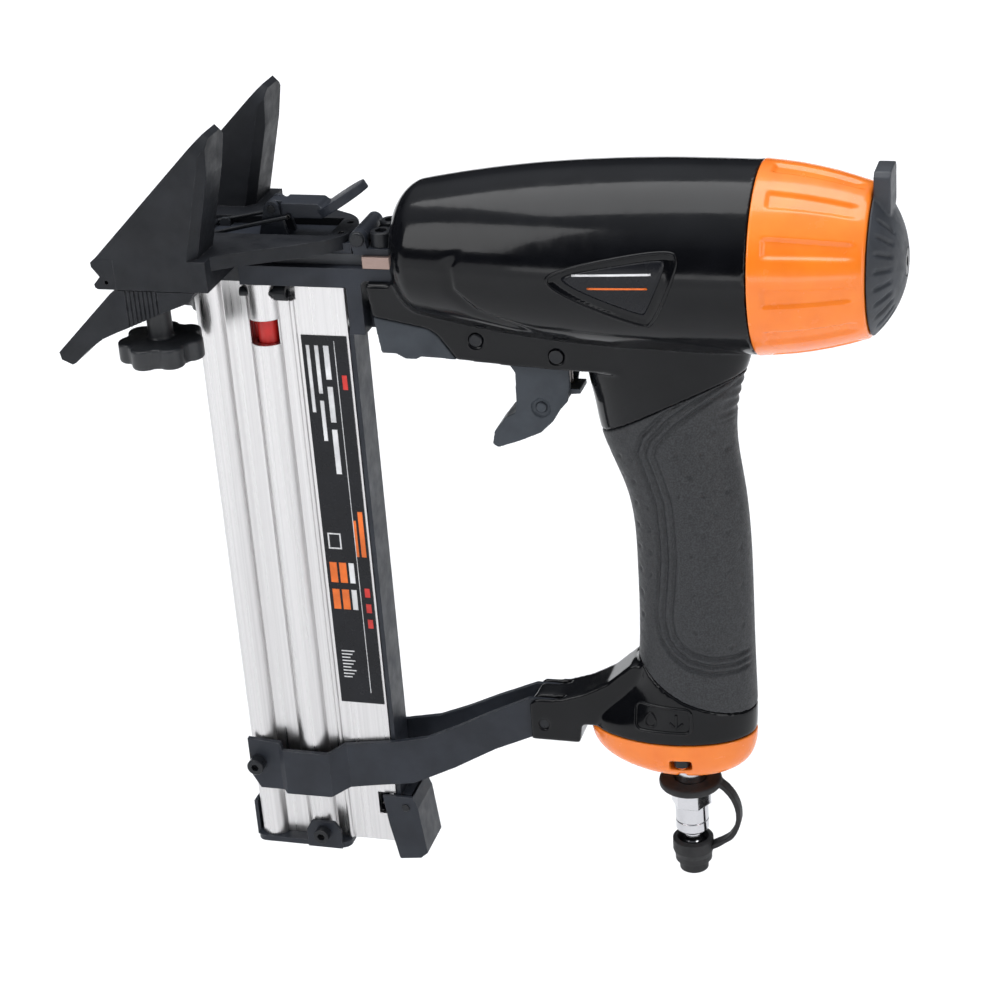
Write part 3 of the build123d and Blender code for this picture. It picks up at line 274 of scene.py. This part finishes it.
pusher_red = moulded("pusher_plastic", (0.42, 0.012, 0.010), 0.38)
label_black = moulded("label_film", (0.005, 0.0055, 0.0075), 0.25, 3000, 0.00001, 0.22, 0.0001)
print_white = moulded("print_white", (0.55, 0.55, 0.56), 0.35, 3000, 0.00001)
print_orange = moulded("print_orange", (0.62, 0.12, 0.01), 0.35, 3000, 0.00001)
print_red = moulded("print_red", (0.45, 0.02, 0.015), 0.35, 3000, 0.00001)


def grip_rubber():
    m = Nodes("grip_rubber")
    grain = m.noise(1500, 4)
    m.set(color=m.mix(m.fit(grain, 0.38, 0.66), (0.009, 0.0095, 0.011), (0.026, 0.028, 0.032)),
          rough=m.fit(m.noise(500, 3), 0.3, 0.7, 0.42, 0.6), spec=0.42)
    m.bump([(grain, 0.00007), (m.noise(4200, 2), 0.00003)])
    return m.mat


rubber = grip_rubber()

SLOT_MATERIAL = {
    "housing_black": black_paint, "cap_orange": orange_paint, "grip_rubber": rubber,
    "grey_steel": dark_steel, "plain_steel": ground_steel, "screw_black": black_screw,
    "magazine_aluminium": brushed, "label": label_black, "pusher_red": pusher_red,
    "spring_steel": wire_steel, "deflector_black": deflector_black, "plug_chrome": chrome,
    "cap_rubber": cap_black, "valve_brass": brass, "cylinder_aluminium": cast_aluminium,
    "bumper_urethane": urethane, "seal_plastic": seal_black,
}
# nodes that look different from the rest of their slot
NODE_MATERIAL = {
    "shoe": shoe_steel, "tongue_guide": shoe_steel, "foot": shoe_steel, "nose_base": nose_steel,
    "trigger": trigger_steel, "trigger_cover": trigger_steel, "trigger_lever": trigger_steel,
    "lever_pin": trigger_steel, "knob_near": knob_black, "knob_far": knob_black,
    "latch_wire": black_screw, "hinge_pin": black_screw, "stay_pin": black_screw,
    "catch_pin": black_screw, "latch_pin": black_screw,
}
slot_of = {s["node"]: s["material_slot"] for s in frame["record"]["subparts"]}


def material_of(node):
    return NODE_MATERIAL.get(node, SLOT_MATERIAL[slot_of[node]])


for node, obj in nodes.items():
    obj.data.materials.clear()
    obj.data.materials.append(material_of(node))


# ---------- mesh helpers ----------
def add_mesh(name, verts, faces, material, smooth=True):
    mesh = bpy.data.meshes.new(name)
    mesh.from_pydata([tuple(v) for v in verts], [], faces)
    mesh.materials.append(material)
    for p in mesh.polygons:
        p.use_smooth = smooth
    obj = bpy.data.objects.new(name, mesh)
    bpy.context.scene.collection.objects.link(obj)
    return obj


def coords(mesh):
    co = np.zeros(len(mesh.vertices) * 3)
    mesh.vertices.foreach_get("co", co)
    return co.reshape(-1, 3)


def normals(mesh):
    no = np.zeros(len(mesh.vertices) * 3)
    mesh.vertex_normals.foreach_get("vector", no)
    return no.reshape(-1, 3)


def sculpted(node, voxel, passes, shape=None, moves=None):
    """A smooth copy of a CAD node: remeshed, relaxed, then shaped by shape(points, normals) in mm.

    moves(obj) says what the copy rides on, where it isn't the node's own body.
    """
    source = nodes[node]
    obj = bpy.data.objects.new(node + "_skin", source.data.copy())
    bpy.context.scene.collection.objects.link(obj)
    remesh = obj.modifiers.new("remesh", "REMESH")
    remesh.mode = "VOXEL"
    remesh.voxel_size = voxel * MM * 1.0
    relax = obj.modifiers.new("relax", "SMOOTH")
    relax.factor = 0.5
    relax.iterations = passes
    graph = bpy.context.evaluated_depsgraph_get()
    mesh = bpy.data.meshes.new_from_object(obj.evaluated_get(graph))
    obj.modifiers.clear()
    obj.data = mesh
    if shape:
        co = coords(mesh) / MM
        mesh.vertices.foreach_set("co", (shape(co, normals(mesh)) * MM).ravel())
        mesh.update()
    mesh.materials.clear()
    mesh.materials.append(material_of(node))
    for p in mesh.polygons:
        p.use_smooth = True
    if moves:
        moves(obj)
    else:
        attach(obj, source["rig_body"])
    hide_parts(node)
    return obj


def step(x, low, high):
    """0 at low, 1 at high, smooth between; low may be the larger."""
    t = np.clip((x - low) / (high - low), 0, 1)
    return t * t * (3 - 2 * t)


def line_distance(x, z, points):
    """Distance from (x, z) to an open run of points."""
    best = np.full(x.shape, 1e9)
    for (ax, az), (bx, bz) in zip(points[:-1], points[1:]):
        dx, dz = bx - ax, bz - az
        t = np.clip(((x - ax) * dx + (z - az) * dz) / (dx * dx + dz * dz), 0, 1)
        best = np.minimum(best, np.hypot(x - ax - t * dx, z - az - t * dz))
    return best


def inside(x, z, points):
    """True where (x, z) is inside the closed outline."""
    odd = np.zeros(x.shape, bool)
    for (ax, az), (bx, bz) in zip(points, points[1:] + points[:1]):
        crosses = (az > z) != (bz > z)
        with np.errstate(divide="ignore", invalid="ignore"):
            odd ^= crosses & (x < (bx - ax) * (z - az) / (bz - az) + ax)
    return odd


def rounded(points, passes=3):
    """Chaikin's corner cutting on a closed outline."""
    for _ in range(passes):
        cut = []
        for (ax, az), (bx, bz) in zip(points, points[1:] + points[:1]):
            cut.append((0.75 * ax + 0.25 * bx, 0.75 * az + 0.25 * bz))
            cut.append((0.25 * ax + 0.75 * bx, 0.25 * az + 0.75 * bz))
        points = cut
    return points


# ---------- housing ----------
BARREL_X = (104, 106.6, 113, 128, 143, 158.5, 174, 190, 207, 225, 241)
BARREL_R = (12, 20.4, 25.6, 28.4, 30.7, 32.5, 33.8, 34.7, 35.2, 35.2, 35.0)
BARREL_FRONT, BARREL_REAR = 116, 240.6
SAME_SURFACE = 1.3
BADGE = rounded([(167.5, -1.5), (171, 5), (213.5, 14.2), (218, 10), (207, -15), (202, -16)])
BADGE_DEPTH = 0.9
CREASE = [(158.5, 19.2), (146.2, 17), (136.7, 10.5), (131.8, 3), (132.4, -5.4), (140.1, -13.5),
          (150.4, -18.1), (161.7, -22.9), (170, -26)]
IN_FRONT_OF_CREASE = CREASE + [(170, -60), (90, -60), (90, 40), (158.5, 40)]
CREASE_DEPTH = 0.7


def barrel_radius(x):
    return np.interp(x, BARREL_X, BARREL_R)


def smooth_barrel_radius(x):
    return sum(barrel_radius(x + d) for d in (-5, -2.5, 0, 2.5, 5)) / 5


def shape_housing(co, no):
    """A round barrel, the badge's recess and the crease at the nose of the casting."""
    out = co.copy()
    r = np.hypot(co[:, 1], co[:, 2])
    outward = (co[:, 1] * no[:, 1] + co[:, 2] * no[:, 2]) / np.maximum(r, 1) > 0.55
    target = smooth_barrel_radius(co[:, 0])
    off = np.abs(r - target)
    close = outward & (off < SAME_SURFACE) & (co[:, 0] > BARREL_FRONT) & (co[:, 0] < BARREL_REAR)
    blend = close * (1 - step(off, 0.5, SAME_SURFACE)) * step(co[:, 0], BARREL_FRONT, BARREL_FRONT + 8)
    scale = 1 + blend * (target / np.maximum(r, 1) - 1)
    out[:, 1] *= scale
    out[:, 2] *= scale
    # recess for the badge, on both sides of the barrel
    side = outward & (np.abs(co[:, 1]) > 20)
    d = line_distance(co[:, 0], co[:, 2], BADGE + BADGE[:1])
    within = inside(co[:, 0], co[:, 2], BADGE)
    depth = np.where(within, step(d, 0.3, 1.9) * BADGE_DEPTH, 0) * side
    # the crease where the nose of the casting meets the barrel: soft in front, sharp behind
    c = line_distance(co[:, 0], co[:, 2], CREASE)
    front = inside(co[:, 0], co[:, 2], IN_FRONT_OF_CREASE)
    fade = step(co[:, 0], 170, 156) * step(co[:, 2], 11, 0)
    soft = np.exp(-(c / 2.8) ** 2) * CREASE_DEPTH
    sharp = np.exp(-(c / 0.8) ** 2) * CREASE_DEPTH
    depth = depth + side * fade * np.where(front, soft, sharp)
    return out - no * depth[:, None]


skin = sculpted("housing", 0.85, 7, shape=shape_housing)
surface = BVHTree.FromPolygons([v.co.copy() for v in skin.data.vertices],
                               [tuple(p.vertices) for p in skin.data.polygons])


OUTSIDE = 0.06
FILM = 0.12


def on_housing(x, z, side, lift):
    """The point of the housing's side at (x, z), moved lift mm out of it, in metres."""
    hit = surface.ray_cast(Vector((x * MM, side * OUTSIDE, z * MM)), Vector((0, -side, 0)))[0]
    return (x * MM, hit.y + side * lift * MM, z * MM)


def finer(points, spacing, closed):
    """The same run of points, with more of them along its straight stretches."""
    run = points + points[:1] if closed else points
    out = []
    for a, b in zip(run[:-1], run[1:]):
        count = max(1, math.ceil(math.dist(a, b) / spacing))
        out += [(a[0] + (b[0] - a[0]) * k / count, a[1] + (b[1] - a[1]) * k / count)
                for k in range(count)]
    return out if closed else out + run[-1:]


def bead(name, points, radius, side, lift=0.0, closed=True):
    """A round moulded bead that follows the housing's surface."""
    run = finer(points, 1.2, closed)
    rail = np.array([on_housing(x, z, side, lift) for x, z in run])
    for _ in range(3):
        smooth = (np.roll(rail[:, 1], 1) + 2 * rail[:, 1] + np.roll(rail[:, 1], -1)) / 4
        if not closed:
            smooth[0], smooth[-1] = rail[0, 1], rail[-1, 1]
        rail[:, 1] = smooth
    data = bpy.data.curves.new(name, "CURVE")
    data.dimensions = "3D"
    data.bevel_depth = radius * MM
    data.bevel_resolution = 4
    data.use_fill_caps = True
    spline = data.splines.new("POLY")
    spline.points.add(len(rail) - 1)
    spline.use_cyclic_u = closed
    for p, place in zip(spline.points, rail):
        p.co = (*place, 1)
    data.materials.append(black_paint)
    obj = bpy.data.objects.new(name, data)
    bpy.context.scene.collection.objects.link(obj)
    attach(obj, "frame")


def patch(name, outline, side, lift, material, rings=8):
    """A thin film on the housing: rings that shrink from an outline to its middle."""
    edge = finer(outline, 1.5, True)
    n = len(edge)
    cx = sum(p[0] for p in edge) / n
    cz = sum(p[1] for p in edge) / n
    verts, faces = [], []
    for k in range(rings):
        size = 1 - k / rings
        verts += [on_housing(cx + (x - cx) * size, cz + (z - cz) * size, side, lift) for x, z in edge]
    verts.append(on_housing(cx, cz, side, lift))
    for k in range(rings - 1):
        for i in range(n):
            j = (i + 1) % n
            quad = (k * n + i, k * n + j, (k + 1) * n + j, (k + 1) * n + i)
            faces.append(quad if side > 0 else quad[::-1])
    for i in range(n):
        tri = ((rings - 1) * n + i, (rings - 1) * n + (i + 1) % n, rings * n)
        faces.append(tri if side > 0 else tri[::-1])
    piece = add_mesh(name, verts, faces, material)
    thick = piece.modifiers.new("thickness", "SOLIDIFY")
    thick.thickness = FILM * MM
    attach(piece, "frame")


PLATE = rounded([(173, 0.4), (176.5, 4), (211, 10.8), (213.2, 8.6), (204.6, -10.6), (202.8, -11.4)])
WHITE_STRIPE = [(178.5, 3.0), (207.5, 4.6), (207.5, 5.4), (178.5, 3.8)]
ORANGE_STRIPE = [(184, -1.6), (206, -0.6), (206, 0.1), (184, -0.9)]
for side, tag in ((-1, "near"), (1, "far")):
    bead("badge_bead_" + tag, BADGE, 0.7, side, -0.1)
    patch("badge_plate_" + tag, PLATE, side, 0.15, label_black)
    patch("badge_stripe_white_" + tag, WHITE_STRIPE, side, 0.24, print_white)
    patch("badge_stripe_orange_" + tag, ORANGE_STRIPE, side, 0.24, print_orange)


def rounded_box(low, high, corner):
    """A box's outline with quarter-circle corners, from its upper right corner round."""
    left, right = low[0] + corner, high[0] - corner
    bottom, top = low[1] + corner, high[1] - corner
    outline = []
    for cx, cz, start in ((right, top, 0), (left, top, 90), (left, bottom, 180), (right, bottom, 270)):
        for turn in range(0, 91, 18):
            angle = math.radians(start + turn)
            outline.append((cx + corner * math.cos(angle), cz + corner * math.sin(angle)))
    return outline


# raised panel with a plain drop and arrow, on the near side above the air fitting
bead("panel_bead", rounded_box((188.8, -191.0), (211.2, -180.6), 2.6), 0.8, -1)
bead("panel_drop", rounded([(195, -182.4), (198, -187.4), (195, -189.6), (192, -187.4)], 2), 0.5, -1)
bead("panel_arrow", [(205.4, -183), (205.4, -189), (202.8, -186.6)], 0.55, -1, closed=False)
bead("panel_arrow_barb", [(205.4, -189), (208, -186.6)], 0.55, -1, closed=False)


# ---------- grip ----------
CONTOUR = [(242, -36), (223.7, -44.2), (214.6, -49.4), (205.3, -56.2), (196.6, -65.6), (193.9, -73.1),
           (196.4, -80.9), (200, -93.5), (200.7, -107.7), (200.7, -118), (199.4, -130.4), (198, -142),
           (199.7, -151.4), (203.7, -157.5), (210.2, -162.3), (219.5, -165.2), (229, -165.5), (242, -163.5)]
GROOVE_DEPTH = 1.15
RIB_DEPTH, RIB_PITCH = 0.55, 4.2
DIMPLE_X, DIMPLE_Z = 192.1, 105.5


def shape_grip(co, no):
    """Grooves round the palm, dimples on both sides and ribs down the back edge."""
    x, z = co[:, 0], co[:, 2]
    side = step(np.abs(no[:, 1]), 0.25, 0.6)
    within = inside(x, z, CONTOUR)
    d = line_distance(x, z, CONTOUR) * np.where(within, 1, -1)
    # three grooves follow the contour, and the palm inside them sits a little lower
    depth = step(d, 5.5, 8.5) * 0.3
    for offset in (0, 3.2, 6.4):
        depth += np.exp(-((d - offset) / 0.8) ** 2) * GROOVE_DEPTH
    # small dimples: close rows for the fingers, wider staggered ones in the palm
    fingers = ~within & (d < -2.5) & (z < -70) & (z > -152)
    palm = within & (d > 10) & (x < 231.5)
    for zone, pitch, drop, size, deep, stagger in ((fingers, 5.3, 9.7, 0.95, 0.6, 0),
                                                   (palm, 8.8, 8.2, 1.15, 0.5, 1)):
        row = np.round((z + DIMPLE_Z) / drop)
        shift = DIMPLE_X + pitch / 2 * (row % 2) * stagger
        px = x - shift - pitch * np.round((x - shift) / pitch)
        pz = z + DIMPLE_Z - row * drop
        depth += np.exp(-(px * px + pz * pz) / size ** 2) * deep * zone
    depth *= side
    # ribs along the back edge, above the palm
    back = step(no[:, 0], 0.55, 0.8) * (z > -62)
    depth += back * RIB_DEPTH * (0.5 + 0.5 * np.cos(z * 2 * math.pi / RIB_PITCH))
    return co - no * depth[:, None]


sculpted("grip_sleeve", 0.55, 6, shape=shape_grip)


# ---------- cylinder cap ----------
CAP_X = (241.0, 247, 254, 260, 267, 273, 278, 281)
CAP_R = (35.4, 34.9, 34.1, 33.1, 31.6, 30.0, 28.5, 27.5)
FLUTES = 12
FLUTE_DEPTH = 1.15
FLUTE_TURN = -4.5


def revolved(name, rings, around, shape, material):
    """A skin about the barrel's axis from (x, r) rings; shape(x, r, angle) gives each point's radius."""
    verts, faces = [], []
    for x, r in rings:
        for k in range(around):
            a = 2 * math.pi * k / around
            rr = shape(x, r, a)
            verts.append((x * MM, math.cos(a) * rr * MM, math.sin(a) * rr * MM))
    for i in range(len(rings) - 1):
        for k in range(around):
            j = (k + 1) % around
            faces.append((i * around + k, (i + 1) * around + k, (i + 1) * around + j, i * around + j))
    return add_mesh(name, verts, faces, material)


def flute(x, r, a):
    """The cap's radius at angle a from +Y towards +Z, with its shallow flutes."""
    spacing = 2 * math.pi / FLUTES
    from_near = (math.pi - a) - math.radians(FLUTE_TURN)
    off = (from_near + spacing / 2) % spacing - spacing / 2
    arc = abs(off) * r
    if r < 27 or not 243.5 < x < 280:
        return r
    along = float(step(np.array(x), 245.2, 247.6) * step(np.array(x), 279.2, 274.0))
    half = 3.5 - (x - 246) * 0.028
    across = float(step(np.array(arc), half + 0.9, half - 1.1))
    return r - FLUTE_DEPTH * along * across


rings = [(242.0, 28.4), (241.0, 33.0), (241.0, 34.6), (241.15, 35.2)]
rings += [(float(x), float(np.interp(x, CAP_X, CAP_R))) for x in np.linspace(CAP_X[0], CAP_X[-1], 81)[1:-1]]
rings += [(280.9, 27.1), (281.0, 26.4), (281.0, 14.0), (281.0, 2.7), (262, 2.6)]
cap = revolved("cylinder_cap_skin", rings, 540, flute, orange_paint)
relax = cap.modifiers.new("relax", "SMOOTH")
relax.factor = 0.5
relax.iterations = 2
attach(cap, "frame")
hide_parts("cylinder_cap")


# ---------- exhaust deflector ----------
GROOVE_ANGLE = 15


def shape_deflector(co, no):
    """Radial grooves in its rear face, in step with the cap's flutes, except under its lip."""
    r = np.hypot(co[:, 1], co[:, 2])
    angle = np.degrees(np.arctan2(co[:, 2], -co[:, 1]))
    off = (angle - FLUTE_TURN + GROOVE_ANGLE / 2) % GROOVE_ANGLE - GROOVE_ANGLE / 2
    arc = np.abs(np.radians(off)) * r
    zone = (no[:, 0] > 0.2) & (co[:, 0] > 281.5) & ~((co[:, 2] > 14) & (np.abs(co[:, 1]) < 10))
    along = step(r, 15.5, 18) * step(r, 25.6, 23)
    depth = zone * along * step(arc, 1.25, 0.3) * 0.8
    return co - no * depth[:, None]


sculpted("exhaust_deflector", 0.45, 3, shape=shape_deflector)

# ---------- knobs, trigger, end cap and covers ----------
sculpted("knob_near", 0.45, 4)
sculpted("knob_far", 0.45, 4)
sculpted("trigger", 0.4, 3)
sculpted("trigger_cover", 0.5, 2)
sculpted("handle_end_cap", 0.5, 6)
sculpted("latch_lever", 0.35, 3)


# ---------- pieces that flex: the cap's strap and two springs ----------
RIM_REACH = 1.2


def shape_strap(co, no):
    """The lower end reaches in to the cap's rim."""
    out = co.copy()
    out[:, 0] -= RIM_REACH * step(-co[:, 2], 248, 252)
    return out


sculpted("cap_strap", 0.4, 3, shape=shape_strap,
         moves=lambda obj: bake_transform(obj))


def spring(node):
    """A spring's own copy, riding on the same body as the spring."""
    obj = bpy.data.objects.new(node + "_coils", nodes[node].data.copy())
    bpy.context.scene.collection.objects.link(obj)
    obj.matrix_world = nodes[node].matrix_world.copy()
    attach(obj, nodes[node]["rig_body"])
    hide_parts(node)
    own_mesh(obj)


spring("pusher_spring")
spring("head_valve_spring")


# ---------- label print: plain blocks, no lettering ----------
LABEL_Y = -8.41
INK = 0.04


def printed(name, boxes, material):
    """Thin blocks on the label, each given by (x low, x high, z low, z high) in mm."""
    verts, faces = [], []
    for x0, x1, z0, z1 in boxes:
        n = len(verts)
        corners = ((x0, z0), (x1, z0), (x1, z1), (x0, z1))
        verts += [(x * MM, y * MM, z * MM) for y in (LABEL_Y, LABEL_Y + INK) for x, z in corners]
        faces += [(n, n + 1, n + 2, n + 3), (n + 7, n + 6, n + 5, n + 4), (n, n + 4, n + 5, n + 1),
                  (n + 1, n + 5, n + 6, n + 2), (n + 2, n + 6, n + 7, n + 3), (n + 3, n + 7, n + 4, n)]
    obj = add_mesh(name, verts, faces, material, smooth=False)
    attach(obj, "frame")


ROWS = ((-140, -131), (-152, -143))
# a long rule, three columns of bars, an empty square, two blocks and a fan of short lines
white = [(76.6, 76.9, -190, -36)]
white += [(72.2, 74.4, z0, z1) for z0, z1 in ((-52, -38), (-70, -55), (-92, -73))]
white += [(68.6, 70.2, z0, z1) for z0, z1 in ((-58, -38), (-78, -61))]
white += [(65.2, 66.6, -66, -38)]
white += [(65.5, 71, -118.6, -118.0), (65.5, 71, -125, -124.4)]
white += [(65.5, 66.1, -124.4, -118.6), (70.4, 71, -124.4, -118.6)]
white += [(73.0, 75.2, z0, z1) for z0, z1 in ROWS]
white += [(66.0, 71.5 - (k % 3), -171.4 - k * 1.5, -170.9 - k * 1.5) for k in range(9)]
orange = [(x, x + 3.0, z0, z1) for z0, z1 in ROWS for x in (65.0, 69.0)]
orange += [(79.0, 81.0, -128, -108), (76.9, 78.0, -128, -112)]
red = [(78.6, 80.8, -146 - 7 * k, -142 - 7 * k) for k in range(3)]
red += [(78.6, 80.6, -56, -50)]
printed("label_marks_white", white, print_white)
printed("label_marks_orange", orange, print_orange)
printed("label_marks_red", red, print_red)


# ---------- floor and light ----------
def sweep_paint(name, color, rough):
    """Pale paint, lit from within away from the middle, like a sweep that runs up behind a table."""
    m = Nodes(name)
    m.set(color=m.mix(m.fit(m.noise(2, 2), 0.4, 0.6), color, tuple(c * 0.985 for c in color)), rough=rough)
    far = m.tree.nodes.new("ShaderNodeVectorMath")
    far.operation = "LENGTH"
    m.link(m.coord, far.inputs[0])
    m.link(m.fit(far.outputs["Value"], 0.45, 2.2, 0.0, 0.8), m.shader.inputs["Emission Strength"])
    m.shader.inputs["Emission Color"].default_value = (1, 1, 1, 1)
    return m.mat


# room under the tool for the magazine's slide, which draws out downwards
SLIDE_ROOM = 0.135
bpy.ops.mesh.primitive_plane_add(size=30, location=(0.13, 0, cad_box[0][2] - SLIDE_ROOM))
floor = bpy.context.object
floor.name = "floor"
floor.data.materials.append(sweep_paint("pale_floor", (0.93, 0.93, 0.93), 0.9))


def area_light(name, place, target, size, power):
    data = bpy.data.lights.new(name, "AREA")
    data.shape = "RECTANGLE"
    data.size = size[0]
    data.size_y = size[1]
    data.energy = power
    obj = bpy.data.objects.new(name, data)
    bpy.context.scene.collection.objects.link(obj)
    obj.location = place
    obj.rotation_euler = (Vector(target) - Vector(place)).to_track_quat("-Z", "Y").to_euler()


area_light("overhead", (0.10, 0.10, 1.3), (0.14, 0, -0.05), (1.6, 1.0), 21)
area_light("key", (-0.75, -1.0, 0.75), (0.14, 0, -0.08), (0.7, 0.9), 8)
area_light("fill", (1.35, -0.9, 0.25), (0.14, 0, -0.10), (0.5, 1.2), 5)
area_light("strip", (0.2, -1.35, -0.12), (0.16, 0, -0.08), (1.5, 0.12), 1.2)


def studio_world():
    """Dark below and pale above for light and reflections, plain white to the camera."""
    world = bpy.data.worlds.new("studio")
    world.use_nodes = True
    tree = world.node_tree
    direction = tree.nodes.new("ShaderNodeTexCoord").outputs["Generated"]
    height = tree.nodes.new("ShaderNodeSeparateXYZ")
    ramp = tree.nodes.new("ShaderNodeValToRGB")
    seen = tree.nodes.new("ShaderNodeLightPath").outputs["Is Camera Ray"]
    mix = tree.nodes.new("ShaderNodeMix")
    mix.data_type = "RGBA"
    mix.inputs[7].default_value = (1, 1, 1, 1)
    tree.links.new(direction, height.inputs[0])
    tree.links.new(height.outputs["Z"], ramp.inputs[0])
    tree.links.new(seen, mix.inputs[0])
    tree.links.new(ramp.outputs["Color"], mix.inputs[6])
    tree.links.new(mix.outputs[2], tree.nodes["Background"].inputs["Color"])
    low, high = ramp.color_ramp.elements
    low.position, low.color = 0.10, (0.015, 0.016, 0.018, 1)
    high.position, high.color = 0.85, (0.80, 0.83, 0.88, 1)
    ramp.color_ramp.elements.new(0.42).color = (0.10, 0.105, 0.115, 1)
    return world


bpy.context.scene.world = studio_world()
bpy.context.scene.view_settings.view_transform = "Standard"
